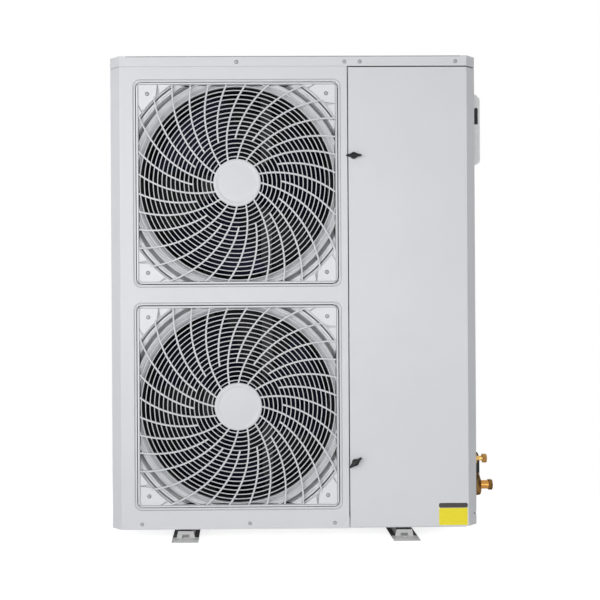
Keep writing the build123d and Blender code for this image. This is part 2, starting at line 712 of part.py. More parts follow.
def liquid_valve():
    body = block(HALF - 4, HALF + 17, VALVE_Y - 12, VALVE_Y + 12, LIQUID_Z - 14, LIQUID_Z + 12)
    body += rod_x(HALF + 17, HALF + 30, VALVE_Y, LIQUID_Z, 7.5, 12)
    return body - rod_x(HALF + 10, HALF + 31, VALVE_Y, LIQUID_Z, 3, 8)


def suction_valve():
    body = rod_x(494, HALF + 45.4, VALVE_Y, SUCTION_Z, 11, 12)
    body += rod_z(HALF + 30, VALVE_Y, SUCTION_Z - 27, SUCTION_Z + 29, 8, 12)
    return body - rod_x(HALF + 35, HALF + 46, VALVE_Y, SUCTION_Z, 6, 12)


def flare_nut(x0, x1, z, across, bore):
    return hexagon_x(x0, x1, VALVE_Y, z, across) - rod_x(x0 - 1, x1 + 1, VALVE_Y, z, bore)


def valve_cap():
    return Pos(HALF + 30, VALVE_Y, SUCTION_Z + 29) * extrude(RegularPolygon(8.2, 6), 10)


# ---------------------------------------------------------------- service door
def hinge_lug(z0, z1):
    points = [(HINGE_X - 8, -188.5), (HINGE_X + 7.5, -173), (HINGE_X + 6, -165), (HINGE_X - 6, -164)]
    return plan(points, z0, z1)


def service_door():
    region = block(DOOR_EDGE, HALF, FRONT, HINGE_Y, DOOR_BOTTOM, DOOR_TOP)
    door = casing_band(DOOR_BOTTOM, DOOR_TOP, 0, SHEET) & region
    top_flange = Pos(0, 0, DOOR_TOP - SHEET) * extrude(casing_face(SHEET / 2) - casing_face(10), SHEET)
    door += top_flange & region
    door += block(DOOR_EDGE, DOOR_EDGE + SHEET, FRONT + SHEET, FRONT + 11, BOTTOM + 32, DOOR_TOP)
    inside = Pos(0, 0, DOOR_BOTTOM) * extrude(casing_face(0), DOOR_TOP - DOOR_BOTTOM)
    for z0, z1 in ((DOOR_TOP - SHEET, DOOR_TOP), (66, 69)):
        door += hinge_lug(z0, z1) & inside
        door -= rod_z(HINGE_X, HINGE_Y, z0 - 2, z1 + 2, PIN_BORE_R)
    door -= block(HINGE_X + 2, HALF + 1, HINGE_Y - 10, HINGE_Y + 1, 61.5, 66)
    for z in LATCH_Z:
        door -= rod_y(LATCH_X, FRONT - 5, FRONT + 5, z, SHAFT_BORE_R)
    return door


def door_insulation():
    return block(200, 455, FRONT + SHEET, FRONT + 8, 120, 1240)


def hinge_bracket(pin_down):
    """Lug with a pivot pin, riveted to the right side panel."""
    z = DOOR_TOP + 1 if pin_down else 63
    shape = [(483, -177), (488, -177), (495, -168.5), (495, -130), (483, -130)]
    plate = plan(shape, z, z + 2.5)
    ear_z = (z - 24, z + 2.5) if pin_down else (z, z + 26)
    plate += block(495, INNER - SHEET if pin_down else INNER, -156, -130, *ear_z)
    pin = (z - 8, z) if pin_down else (z + 2.5, z + 10)
    return plate + rod_z(HINGE_X, HINGE_Y, pin[0], pin[1], PIN_R)


def latch_knob(z, turn):
    """Wing knob with its shaft."""
    wing = make_face(Polyline((-21, -2.5), (-8, -7), (8, -7), (21, -2.5), (21, 2.5), (8, 7), (-8, 7), (-21, 2.5),
                              close=True))
    knob = pressed(RegularPolygon(9.5, 16), 0, FRONT - 10, FRONT - 0.3, 0)
    knob += pressed(wing, 0, FRONT - 16, FRONT - 7, 0)
    knob += rod_y(0, FRONT - 1, FRONT + 18.5, 0, SHAFT_R)
    return Pos(LATCH_X, 0, z) * Rot(0, -turn, 0) * knob


def latch_tongue(z, turn):
    """Flat tongue on the shaft's inner end; it points down when the wing lies level."""
    tongue = make_face(Polyline((-5, 6), (5, 6), (5, -16), (2, -20), (-2, -20), (-5, -16), close=True))
    plate = pressed(tongue, 0, FRONT + 18.5, FRONT + 21.5, 0)
    return Pos(LATCH_X, 0, z) * Rot(0, -turn, 0) * plate


# ---------------------------------------------------------------- screws
def screw_front(x, y, z):
    return pressed(RegularPolygon(4.5, 6), x, y - 2.2, y, z)


def cover_screws():
    screws = [screw_front(x, FRONT, TOP - 16) for x in (FAN_X, 139.6, 181.5, 442.4)]
    for side in (-1, 1):
        for y in (-90, 130):
            x = side * HALF if side > 0 else -HALF - 2.2
            plane = Plane(origin=(x, y, TOP - 14), x_dir=(0, 1, 0), z_dir=(1, 0, 0))
            screws.append(extrude(plane * RegularPolygon(4.5, 6), 2.2))
    return screws


def panel_screws():
    return [screw_front(x, FRONT, BOTTOM + 15) for x in (-417, -124, 106.7)]


def grille_screws():
    return [screw_front(FAN_X + dx, RIB_FRONT + 2, z + dz)
            for z in FAN_Z for dx in (-SCREW_OFFSET, SCREW_OFFSET) for dz in (-SCREW_OFFSET, SCREW_OFFSET)]


# ---------------------------------------------------------------- write every sub-part
save("base_pan", base_pan())
save("left_foot", foot(-FOOT_X))
save("right_foot", foot(FOOT_X))
save("top_cover", top_cover())
save("fan_panel", fan_panel())
save("right_side_panel", right_side_panel())
save("rear_panel", rear_panel())
save("rear_left_post", corner_post())
save("partition", *partition())
save("door_seal", door_seal())
save("door_header", door_header())
save("rear_coil_guard", *rear_guard())
save("left_coil_guard", *left_guard())
save("condenser_coil", coil())
save("coil_end_plates", *coil_end_plates())
save("coil_return_bends", *return_bends())
for level, fan_name in enumerate(FAN_NAMES):
    height = FAN_Z[level]
    save(f"{fan_name}_bell_mouth", bell_mouth(height))
    save(f"{fan_name}_grille", *grille(height))
    save(f"{fan_name}_fan", fan(height))
    save(f"{fan_name}_fan_shaft", fan_shaft(height))
    save(f"{fan_name}_fan_nut", fan_nut(height))
    save(f"{fan_name}_latch_knob", latch_knob(LATCH_Z[level], LATCH_REST[level]))
    save(f"{fan_name}_latch_tongue", latch_tongue(LATCH_Z[level], LATCH_REST[level]))
save("fan_motors", *[motor(z) for z in FAN_Z])
save("motor_rails", motor_rail(-1), motor_rail(1), *[bar for z in FAN_Z for bar in motor_bracket(z)])
save("compressor", compressor())
save("compressor_grommets", *rubber_feet())
save("compressor_bolts", *compressor_bolts())
save("compressor_terminal_cover", compressor_terminals())
save("liquid_receiver", receiver())
save("suction_accumulator", accumulator())
save("filter_drier", filter_drier())
save("sight_glass", sight_glass())
save("discharge_pipe", discharge_pipe())
save("suction_pipe", suction_pipe())
save("liquid_pipes", liquid_pipe(), receiver_pipe(), condenser_outlet_pipe())
save("pressure_switches", *pressure_switches())
save("electrical_tray", electrical_tray())
save("contactor", contactor())
save("run_capacitor", capacitor())
save("terminal_block", terminal_block())
save("controller_board", controller_board())
save("terminal_cover", terminal_cover())
save("cable_membrane", cable_membrane())
save("valve_bracket", valve_bracket())
save("liquid_valve", liquid_valve())
save("suction_valve", suction_valve())
save("valve_nuts", flare_nut(530, 541.5, LIQUID_Z, 25, LIQUID_TUBE_R),
     flare_nut(HALF + 45.4, HALF + 57, SUCTION_Z, 29, SUCTION_TUBE_R), valve_cap())
save("service_door", service_door())
save("door_insulation", door_insulation())
save("hinge_brackets", hinge_bracket(True), hinge_bracket(False))
save("casing_screws", *cover_screws(), *panel_screws())
save("grille_screws", *grille_screws())
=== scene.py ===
"""Looks of the refrigeration condensing unit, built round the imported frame.

The front faces -Y and Z is up. Shapes are drawn in millimetres and turned into metres when a piece is made.
"""
import json
from math import acos, asin, atan2, cos, degrees, exp, pi, radians, sin, sqrt

import bpy
from mathutils import Matrix, Vector


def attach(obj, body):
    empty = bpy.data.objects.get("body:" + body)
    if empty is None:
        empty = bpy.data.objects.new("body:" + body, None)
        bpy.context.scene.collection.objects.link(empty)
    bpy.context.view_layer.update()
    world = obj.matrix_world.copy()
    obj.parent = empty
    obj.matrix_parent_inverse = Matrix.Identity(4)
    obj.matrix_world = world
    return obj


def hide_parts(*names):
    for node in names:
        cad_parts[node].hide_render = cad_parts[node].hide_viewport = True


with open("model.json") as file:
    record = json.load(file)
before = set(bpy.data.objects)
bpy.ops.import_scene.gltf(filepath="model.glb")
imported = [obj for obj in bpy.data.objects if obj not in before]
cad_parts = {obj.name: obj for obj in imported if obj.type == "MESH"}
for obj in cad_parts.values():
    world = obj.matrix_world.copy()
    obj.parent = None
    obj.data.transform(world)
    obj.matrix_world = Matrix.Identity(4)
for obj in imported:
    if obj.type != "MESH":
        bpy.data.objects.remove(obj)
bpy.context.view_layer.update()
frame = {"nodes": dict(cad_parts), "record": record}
MM = 0.001
ORIGIN = (0, 0, 0)

# ---- sizes shared with the solids, in mm
FRONT = -200
REAR = 200
HALF = 500  # half the width of the cabinet
TOP = 1316
FAN_X = -154
FAN_Z = {"lower": 364, "upper": 970.5}
RECESS_FLOOR = -192
RIB_FRONT = -204
GRILLE_HALF = 273
GRILLE_INNER = 267
VALVE_Y = -110
LIQUID_Z = 204
SUCTION_Z = 130


# ---- node materials
class Nodes:
    """A node tree with a short way to fill it."""

    def __init__(self, tree):
        self.tree = tree
        self.tree.nodes.clear()

    def node(self, kind, *feeds, **named):
        """Add a node: feeds for its first sockets, Named ones for other sockets, and settings."""
        made = self.tree.nodes.new(kind)
        sockets = list(enumerate(feeds))
        for name, value in named.items():
            if name[0].islower():
                setattr(made, name, value)
            else:
                sockets.append((name.replace("_", " "), value))
        for key, value in sockets:
            if isinstance(value, bpy.types.NodeSocket):
                self.tree.links.new(value, made.inputs[key])
            else:
                made.inputs[key].default_value = value
        return made

    def maths(self, operation, *feeds):
        """Result of a calculation."""
        return self.node("ShaderNodeMath", *feeds, operation=operation).outputs[0]

    def mixed(self, share, first, second):
        """Shader between two."""
        return self.node("ShaderNodeMixShader", share, first, second).outputs[0]


class Finish(Nodes):
    """A material and its node tree."""

    def __init__(self, name):
        self.material = bpy.data.materials.new(name)
        self.material.use_nodes = True
        super().__init__(self.material.node_tree)
        coordinates = self.node("ShaderNodeTexCoord")
        self.place = coordinates.outputs["Object"]
        self.facing = coordinates.outputs["Normal"]

    def noise(self, scale, detail=2, stretch=(1, 1, 1)):
        """Noise from 0 to 1; scale is in cells per metre."""
        place = self.node("ShaderNodeMapping", Vector=self.place, Scale=stretch).outputs["Vector"]
        return self.node("ShaderNodeTexNoise", Vector=place, Scale=scale, Detail=detail).outputs["Fac"]

    def stripes(self, axis, pitch):
        """Bands across an axis, with the given pitch in metres."""
        bands = {"wave_type": "BANDS", "bands_direction": axis, "Scale": pi / 10 / pitch}
        return self.node("ShaderNodeTexWave", Vector=self.place, **bands).outputs["Fac"]

    def spread(self, value, low, high, start=0.3, stop=0.7):
        """Map a value from start..stop to low..high."""
        ends = {"From_Min": start, "From_Max": stop, "To_Min": low, "To_Max": high}
        return self.node("ShaderNodeMapRange", Value=value, **ends).outputs["Result"]

    def blend(self, value, first, second, start=0.35, stop=0.65):
        """Colour between two, as the value goes from start to stop."""
        ramp = self.node("ShaderNodeValToRGB", Fac=value)
        for end, place, colour in zip(ramp.color_ramp.elements, (start, stop), (first, second)):
            end.position = place
            end.color = (*colour, 1)
        return ramp.outputs["Color"]

    def shaded(self, colour, value):
        """Colour darkened by a value from 0 to 1."""
        return self.node("ShaderNodeHueSaturation", Color=colour, Value=value).outputs["Color"]

    def bump(self, height, depth, normal=None):
        """Relief with the given depth in metres, over another normal."""
        under = {"Normal": normal} if normal else {}
        return self.node("ShaderNodeBump", Height=height, Distance=depth, **under).outputs["Normal"]

    def rounded(self, radius):
        """Normals that round every edge by the given radius in metres."""
        return self.node("ShaderNodeBevel", Radius=radius, samples=4).outputs["Normal"]

    def surface(self, colour, roughness, normal, **sockets):
        """Principled shader; the first three are node outputs, the rest plain values."""
        linked = {"Base_Color": colour, "Roughness": roughness}
        if normal:
            linked["Normal"] = normal
        shader = self.node("ShaderNodeBsdfPrincipled", **linked, **sockets)
        self.node("ShaderNodeOutputMaterial", shader.outputs[0])
        return self.material


def srgb(*levels):
    """Linear colour of three sRGB levels from 11 to 255."""
    return tuple(((v / 255 + 0.055) / 1.055) ** 2.4 for v in levels)


def darker(colour, share):
    return tuple(channel * share for channel in colour)


def coated(name, colour, depth=0.00002, low=0.38, high=0.48, edge=0.0012, mottle=0.97):
    """Powder coat: orange peel, faint mottling, eased edges."""
    finish = Finish(name)
    tone = finish.blend(finish.noise(3.5, 3), darker(colour, mottle), colour)
    normal = finish.bump(finish.noise(900, 1), depth, finish.rounded(edge) if edge else None)
    return finish.surface(tone, finish.spread(finish.noise(40, 3), low, high), normal)


def moulded(name, colour, low, high, depth=0.00001, grain=700, **sockets):
    """Moulded plastic, resin or rubber: fine grain, uneven gloss."""
    finish = Finish(name)
    tone = finish.blend(finish.noise(14, 4), darker(colour, 0.88), colour)
    normal = finish.bump(finish.noise(grain, 2), depth)
    return finish.surface(tone, finish.spread(finish.noise(30, 3), low, high), normal, **sockets)


def metal(name, colour, tarnish, low, high, streak=(1, 1, 1), grain=500):
    """Bare metal: tarnish in patches, fine marks along one axis."""
    finish = Finish(name)
    tone = finish.blend(finish.noise(45, 5), tarnish, colour)
    marks = finish.noise(grain, 3, streak)
    return finish.surface(tone, finish.spread(marks, low, high), finish.bump(marks, 0.00001), Metallic=1)


def zinc():
    """Galvanised sheet with crystal spangle; its tone is kept dark as painted shade for parts seen inside
    the cabinet.
    """
    finish = Finish("galvanised_painted_shade")
    spangle = finish.node("ShaderNodeTexVoronoi", Vector=finish.place, Scale=110).outputs["Color"]
    split = finish.node("ShaderNodeSeparateColor", spangle)
    tone = finish.blend(split.outputs[0], (0.12, 0.125, 0.13), (0.22, 0.225, 0.235), 0, 1)
    rough = finish.spread(split.outputs[1], 0.38, 0.55, 0, 1)
    return finish.surface(tone, rough, finish.bump(finish.noise(300, 2), 0.00001), Metallic=0.5)


FOOT_OPEN_END = (0.1725, 0.1740)  # metres from the middle; a foot is in shade up to here


def foot_zinc_painted_light():
    """Zinc with painted light: lighter on flat plates that face up, darker on upright faces, and painted
    shade behind the end tabs, under the cabinet.
    """
    finish = Finish("foot_zinc_painted_light")
    # painted light: faces turned up are made lighter, upright faces darker
    upward = finish.node("ShaderNodeSeparateXYZ", finish.facing).outputs["Z"]
    tone = finish.blend(upward, (0.55, 0.55, 0.55), (0.96, 0.96, 0.96), 0.3, 0.8)
    # painted shade: darkened where the feet run back under the cabinet
    reach = finish.maths("ABSOLUTE", finish.node("ShaderNodeSeparateXYZ", finish.place).outputs["Y"])
    tone = finish.shaded(tone, finish.spread(reach, 0.10, 1, *FOOT_OPEN_END))
    rough = finish.spread(finish.noise(60, 3), 0.35, 0.5)
    return finish.surface(tone, rough, finish.bump(finish.noise(300, 2), 0.000004), Metallic=0.1)


FIN_LINES = 0.0018  # pitch of the fins' lines in metres
TUBE_ROWS = 0.025


def fins():
    """Aluminium fins on edge, with faint tube rows; dark lines of painted shade between the fins, and
    painted shade on the faces turned inside.
    """
    finish = Finish("coil_fin_pack")
    lines = finish.maths("MULTIPLY", finish.stripes("X", FIN_LINES), finish.stripes("Y", FIN_LINES))
    pattern = finish.maths("MULTIPLY_ADD", finish.stripes("Z", TUBE_ROWS), 0.3, lines)
    # the dark end of this ramp is painted shade in the gaps between the fins
    tone = finish.blend(pattern, (0.10, 0.11, 0.12), (0.55, 0.57, 0.59), 0.05, 0.9)
    # painted shade: faces turned towards the inside of the cabinet are darkened
    outward = finish.node("ShaderNodeVectorMath", finish.facing, (-1, 1, 0), operation="DOT_PRODUCT")
    tone = finish.shaded(tone, finish.spread(outward.outputs["Value"], 0.03, 1, -0.2, 0.2))
    rough = finish.spread(finish.noise(25, 3), 0.35, 0.6)
    return finish.surface(tone, rough, finish.bump(lines, 0.0006), Metallic=0.6)


def board():
    """Circuit board lacquer over copper tracks."""
    finish = Finish("circuit_board_lacquer")
    tracks = finish.stripes("Z", 0.004)
    tone = finish.blend(tracks, (0.012, 0.085, 0.035), (0.035, 0.16, 0.07))
    return finish.surface(tone, finish.spread(finish.noise(60, 2), 0.25, 0.4), finish.bump(tracks, 0.00004))


def printed_card(name, colour):
    """Glossy vinyl card with a slight print mottle."""
    finish = Finish(name)
    tone = finish.blend(finish.noise(120, 3), darker(colour, 0.95), colour)
    return finish.surface(tone, finish.spread(finish.noise(60, 2), 0.3, 0.42), None)


BRASS = ((0.74, 0.48, 0.16), (0.45, 0.25, 0.07))  # clean and tarnished
FINISHES = {
    "painted_panel": coated("panel_powder_coat", srgb(222, 223, 226)),
    "galvanised": zinc(),
    "grille_plastic": coated("grille_coat", srgb(220, 221, 224), 0.00001, edge=0),
    "guard_wire": coated("guard_wire_coat", srgb(205, 207, 208), 0.00001, edge=0),
    "coil_fins": fins(),
    "copper": metal("drawn_copper", (0.72, 0.33, 0.20), (0.42, 0.17, 0.10), 0.22, 0.42),
    "brass": metal("machined_brass", *BRASS, 0.18, 0.34, (1, 12, 12), 260),
    "black_plastic": moulded("fan_blade_plastic", (0.0016, 0.0020, 0.0050), 0.24, 0.36, 0.00002, 160,
                             Specular_IOR_Level=0.13, Specular_Tint=(0.5, 0.56, 1, 1)),
    "knob_plastic": moulded("knob_black", (0.004, 0.004, 0.005), 0.3, 0.42, Specular_IOR_Level=0.25),
    "black_paint": coated("vessel_black_paint", (0.012, 0.012, 0.013), 0.00003, 0.28, 0.42, 0.0008, 0.8),
    "motor_resin": moulded("motor_resin_dark", (0.022, 0.022, 0.025), 0.45, 0.6, 0.00003),
    "steel": metal("plated_steel", (0.62, 0.62, 0.60), (0.48, 0.48, 0.47), 0.2, 0.36, (1, 1, 1), 300),
    "rubber": moulded("black_rubber", (0.015, 0.015, 0.016), 0.6, 0.8, 0.00004),
    "foam": moulded("insulation_felt", (0.05, 0.05, 0.055), 0.85, 0.98, 0.0006, 420),
    "terminal_plastic": moulded("terminal_grey", (0.06, 0.065, 0.07), 0.4, 0.55),
    "capacitor_case": metal("capacitor_can", (0.72, 0.73, 0.74), (0.62, 0.63, 0.64), 0.25, 0.4, (1, 1, 8)),
    "circuit_board": board(),
    "sight_glass_brass": metal("sight_glass_body", *BRASS, 0.2, 0.36),
}
NUT_BRASS = metal("nut_brass", (0.66, 0.40, 0.14), (0.30, 0.16, 0.05), 0.2, 0.36, (1, 10, 10), 260)
AMBER_BRASS = metal("amber_brass", (0.60, 0.30, 0.07), (0.34, 0.15, 0.04), 0.22, 0.36, (1, 12, 12), 260)
DARK_BRASS = metal("aged_brass", (0.22, 0.115, 0.035), (0.06, 0.034, 0.014), 0.22, 0.42, (1, 10, 10), 260)
SIGHT_GREEN = moulded("sight_indicator_green", (0.02, 0.16, 0.05), 0.04, 0.08)
SCREW_HEAD = coated("screw_head_coat", srgb(205, 206, 208), 0.00001, 0.3, 0.42, 0, 0.9)
# painted shade: dark grey for the ring round screw heads and for their cross recesses
SCREW_RING_PAINTED_SHADE = moulded("screw_washer_painted_shade", (0.15, 0.15, 0.155), 0.5, 0.7)
# painted shade: grey for the deep groove of the bell mouth
GROOVE_PAINTED_SHADE = moulded("groove_painted_shade", (0.27, 0.27, 0.275), 0.6, 0.75)
BRIGHT_SCREW = coated("cover_screw_white", (0.95, 0.95, 0.95), 0.00001, 0.3, 0.4, 0, 0.98)
# painted shade: grey for thin lines along rounded edges
LINE_PAINTED_SHADE = moulded("edge_line_painted_shade", (0.33, 0.33, 0.34), 0.5, 0.6)
# painted light: a lighter copy of the grille's coat for its flat frame and corner plates
PLATE_PAINTED_LIGHT = coated("grille_plate_painted_light", srgb(231, 232, 235), 0.00001, edge=0)
# painted shade: near black for the gap round the grille
GAP_PAINTED_SHADE = moulded("grille_gap_painted_shade", (0.05, 0.05, 0.053), 0.7, 0.85)
FOOT_ZINC_PAINTED_LIGHT = foot_zinc_painted_light()
CARD_YELLOW = printed_card("card_yellow", srgb(249, 232, 20))
CARD_DARK = printed_card("card_dark_band", srgb(48, 42, 38))
CARD_EDGE = printed_card("card_pale_edge", srgb(232, 232, 224))
OWN_FINISHES = {
    # painted shade: the rails inside the cabinet are made near black
    "motor_rails": coated("rail_painted_shade", (0.028, 0.028, 0.030), 0.00002, 0.5, 0.6),
    "terminal_cover": coated("terminal_cover_paint", srgb(240, 241, 242)),
    "left_foot": FOOT_ZINC_PAINTED_LIGHT,
    "right_foot": FOOT_ZINC_PAINTED_LIGHT,
}


def dress_nodes():
    """Give every CAD node its own finish or its slot's."""
    slots = {part["node"]: part["material_slot"] for part in frame["record"]["subparts"]}
    for name, node in frame["nodes"].items():
        node.data.materials.clear()
        node.data.materials.append(OWN_FINISHES.get(name, FINISHES[slots[name]]))


# ---- drawing meshes
BOX_FACES = ((0, 1, 3, 2), (4, 6, 7, 5), (0, 4, 5, 1), (2, 3, 7, 6), (0, 2, 6, 4), (1, 5, 7, 3))


def full_turn(count):
    """Equal steps round a circle, in radians."""
    return [2 * pi * k / count for k in range(count)]


def spun(x, z, angle):
    """Point (x, z) turned about the origin by an angle in radians."""
    return x * cos(angle) - z * sin(angle), x * sin(angle) + z * cos(angle)


def new_object(name, data):
    """Object in the scene that shows a mesh, a camera or a lamp."""
    made = bpy.data.objects.new(name, data)
    bpy.context.scene.collection.objects.link(made)
    return made


def about(place, axis, along, radius, angle):
    """Point along, off and round an axis through a place."""
    u, v = radius * cos(angle), radius * sin(angle)
    offset = {"X": (along, u, v), "Y": (v, along, u), "Z": (u, v, along)}[axis]
    return tuple(place[i] + offset[i] for i in range(3))


class Shape:
    """Vertices and faces of one piece; tints number the materials of its faces."""

    def __init__(self):
        self.points = []
        self.faces = []
        self.tints = []

    def add(self, points, faces, tint=0):
        """Add points, and faces that count from the first of them."""
        first = len(self.points)
        self.points += [tuple(point) for point in points]
        self.faces += [tuple(first + i for i in face) for face in faces]
        self.tints += [tint] * len(faces)

    def strip(self, rows, wrap_rows=False, tint=0, caps=False):
        """Skin over rows of points that close on themselves."""
        count = len(rows[0])
        faces = []
        for i in range(len(rows) - (0 if wrap_rows else 1)):
            j = (i + 1) % len(rows)
            for k in range(count):
                m = (k + 1) % count
                faces.append((i * count + k, i * count + m, j * count + m, j * count + k))
        if caps:
            faces.append(tuple(reversed(range(count))))
            faces.append(tuple((len(rows) - 1) * count + k for k in range(count)))
        self.add([point for row in rows for point in row], faces, tint)

    def loft(self, outlines, **options):
        """Skin over front-view outlines (x, z), each at its own depth y."""
        self.strip([[(x, y, z) for x, z in outline] for outline, y in outlines], **options)

    def slab(self, outline, y0, y1, tint=0):
        """A front-view outline (x, z) made solid from y0 back to y1."""
        self.loft([(outline, y1), (outline, y0)], tint=tint, caps=True)

    def turned(self, place, axis, profile, sides=40, tint=0):
        """A turned form; its profile holds (radius, distance along the axis)."""
        turns = full_turn(sides)
        rows = [[about(place, axis, along, radius, a) for a in turns] for radius, along in profile]
        self.strip(rows, tint=tint, caps=True)

    def prism(self, place, axis, across, start, end, ease, tint=0):
        """Hexagonal nut or bolt head with turned corners."""
        tip = across / sqrt(3)
        rows = []
        for along, shrink in ((start, ease), (start + ease, 0), (end - ease, 0), (end, ease)):
            radii = [min(tip if k % 2 == 0 else across / 2, tip - 1.6 * shrink) for k in range(12)]
            rows.append([about(place, axis, along, radius, a) for radius, a in zip(radii, full_turn(12))])
        self.strip(rows, tint=tint, caps=True)

    def tube(self, path, radius, sides=10):
        """A round bar along a path of points."""
        stops = [Vector(point) for point in path]
        rows = []
        side = (stops[1] - stops[0]).normalized().orthogonal()
        for i, stop in enumerate(stops):
            along = (stops[min(i + 1, len(stops) - 1)] - stops[max(i - 1, 0)]).normalized()
            side = (side - along * side.dot(along)).normalized()
            other = along.cross(side)
            rows.append([stop + (side * cos(a) + other * sin(a)) * radius for a in full_turn(sides)])
        self.strip(rows, caps=True)

    def move(self, x, z, turn=0):
        """Turn the shape about the Y axis by an angle in radians, then move it."""
        turned = [(spun(px, pz, turn), y) for px, y, pz in self.points]
        self.points = [(x + dx, y, z + dz) for (dx, dz), y in turned]

    def piece(self, name, slot, replaces=(), materials=None, more=(), sharp=35, body="cabinet"):
        """Object that rides on a body, with the slot's finish and more, or with its own materials."""
        mesh = bpy.data.meshes.new(name)
        mesh.from_pydata([tuple(v * MM for v in point) for point in self.points], [], self.faces)
        for material in materials or [FINISHES[slot], *more]:
            mesh.materials.append(material)
        mesh.polygons.foreach_set("material_index", self.tints)
        mesh.polygons.foreach_set("use_smooth", [True] * len(mesh.polygons))
        mesh.validate()
        mesh.set_sharp_from_angle(angle=radians(sharp))
        made = new_object(name, mesh)
        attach(made, body)
        if replaces:
            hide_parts(*replaces)
        return made


def arc(radius, start, end, steps):
    """Points (x, z) of an arc about the origin; angles in degrees."""
    turns = [radians(start + (end - start) * i / steps) for i in range(steps + 1)]
    return [(radius * cos(a), radius * sin(a)) for a in turns]


def rounded_box(x0, x1, z0, z1, corner, steps=5):
    """Points (x, z) of a rectangle with round corners."""
    points = []
    for quarter, (cx, cz) in enumerate(((x1, z1), (x0, z1), (x0, z0), (x1, z0))):
        mx = cx - corner if cx == x1 else cx + corner
        mz = cz - corner if cz == z1 else cz + corner
        points += [(mx + x, mz + z) for x, z in arc(corner, 90 * quarter, 90 * quarter + 90, steps)]
    return points


def rounded_square(half, corner):
    """Points (x, z) of a square with round corners about the origin."""
    return rounded_box(-half, half, -half, half, corner, 6)


# ---- grilles
HUB_R = 64.4
DOME = 8  # how far the hub stands in front of the rim
RING_FIRST = 71.5
RING_PITCH = 12
RING_COUNT = 19
RING_WIDTH = 2.5
RING_DEPTH = 4.5
RING_DROP = 1.6  # how far the rings lie behind the ribs
LONG_RIBS = 16
SHORT_RIB_RING = 4  # ring that the short ribs start from
RIB_WIDTH = 4.6
RIB_DEPTH = 8
RIB_STEP = 2
FIRST_RIB = -0.7  # angle of the first rib at the hub, in degrees
SWIRL_LEAN = -0.124  # degrees for every millimetre outwards
SWIRL_HOOK = 1.9  # degrees more, close to the hub
SWIRL_RUN = 27  # the hook dies out over this distance
PLATE_R = 322  # radius that the corner plates end on
PLATE_EDGE = GRILLE_INNER + 1  # their outer sides
MAIN_PLATE = (142.6, 133.2)  # degrees on that radius between the two slits
ABOVE_SLIT = 130.6
BELOW_SLIT = 143.4
GRILLE_CORNER = 16
SCREW_OFFSET = 243


def rib_turn(radius):
    """Angle in degrees that a swirl rib has turned at a radius."""
    run = radius - HUB_R
    return SWIRL_LEAN * run - SWIRL_HOOK * (1 - exp(-run / SWIRL_RUN))


def rib_lean(radius):
    """Angle in radians between a swirl rib and the radius."""
    rate = SWIRL_LEAN - SWIRL_HOOK / SWIRL_RUN * exp(-(radius - HUB_R) / SWIRL_RUN)
    return atan2(radius * radians(rate), 1)


def rib_front(radius):
    """Depth of the grille's front at a radius: it is slightly domed."""
    return RIB_FRONT - DOME * max(0, 1 - (radius / GRILLE_INNER) ** 2)


def bar_section(centre, side, front, width, depth, ease):
    """Cross-section of a moulded bar: eased front edges, slight draft to the back."""
    half = width / 2
    back = half - 0.2
    outline = ((-back, depth), (-half, ease), (-half + ease, 0))
    outline += tuple((-u, v) for u, v in reversed(outline))
    return [(centre[0] + side[0] * u, front + v, centre[1] + side[1] * u) for u, v in outline]


def swirl_rib(shape, start, first_radius):
    """One curved rib, out to the frame or past the round edge of a corner plate."""
    rows = []
    radius = first_radius
    ended = False
    while not ended:
        a = radians(start + rib_turn(radius))
        x, z = radius * cos(a), radius * sin(a)
        lean = a + rib_lean(radius)
        side = (-sin(lean), cos(lean))
        rows.append(bar_section((x, z), side, rib_front(radius), RIB_WIDTH, RIB_DEPTH, 1))
        ended = max(abs(x), abs(z)) > GRILLE_INNER - 1 or radius > PLATE_R + 3
        radius += RIB_STEP
    shape.strip(rows, caps=True)


def ring(shape, radius):
    """One round bar behind the ribs, kept inside the frame."""
    limit = GRILLE_INNER + 2
    front = rib_front(radius) + RING_DROP
    rows = []
    for a in full_turn(180):
        out = (cos(a), sin(a))
        x, z = radius * out[0], radius * out[1]
        reach = max(abs(x), abs(z))
        if reach > limit:
            x, z = x * limit / reach, z * limit / reach
        rows.append(bar_section((x, z), out, front, RING_WIDTH, RING_DEPTH, 0.8))
    shape.strip(rows, wrap_rows=True)


def rim_ring(shape):
    """Thin round edge that the corner plates end on."""
    reach = 45 - degrees(acos(PLATE_EDGE / PLATE_R))
    for middle in (45, 135, 225, 315):
        rows = []
        for x, z in arc(PLATE_R, middle - reach, middle + reach, 10):
            rows.append(bar_section((x, z), (x / PLATE_R, z / PLATE_R), RIB_FRONT + 1.2, 2.4, 5, 0.8))
        shape.strip(rows, caps=True)


def corner_plates(shape):
    """Flat screw plates in the corners, each split by two narrow slits."""
    edge = PLATE_EDGE
    corner = 9
    at_top = 90 + degrees(acos(edge / PLATE_R))
    at_side = 90 + degrees(asin(edge / PLATE_R))
    bend = [(-edge + corner + x, edge - corner + z) for x, z in arc(corner, 90, 180, 5)]
    main = arc(PLATE_R, *MAIN_PLATE, 8) + [(-216, edge)] + bend + [(-edge, 214)]
    above = arc(PLATE_R, ABOVE_SLIT, at_top, 6) + [(-214, edge)]
    below = [(-edge, 211)] + arc(PLATE_R, BELOW_SLIT, at_side, 4)
    for quarter in range(4):
        for outline in (main, above, below):
            turned = [spun(x, z, radians(90 * quarter)) for x, z in outline]
            shape.slab(turned, RIB_FRONT + 2, RIB_FRONT + 5)


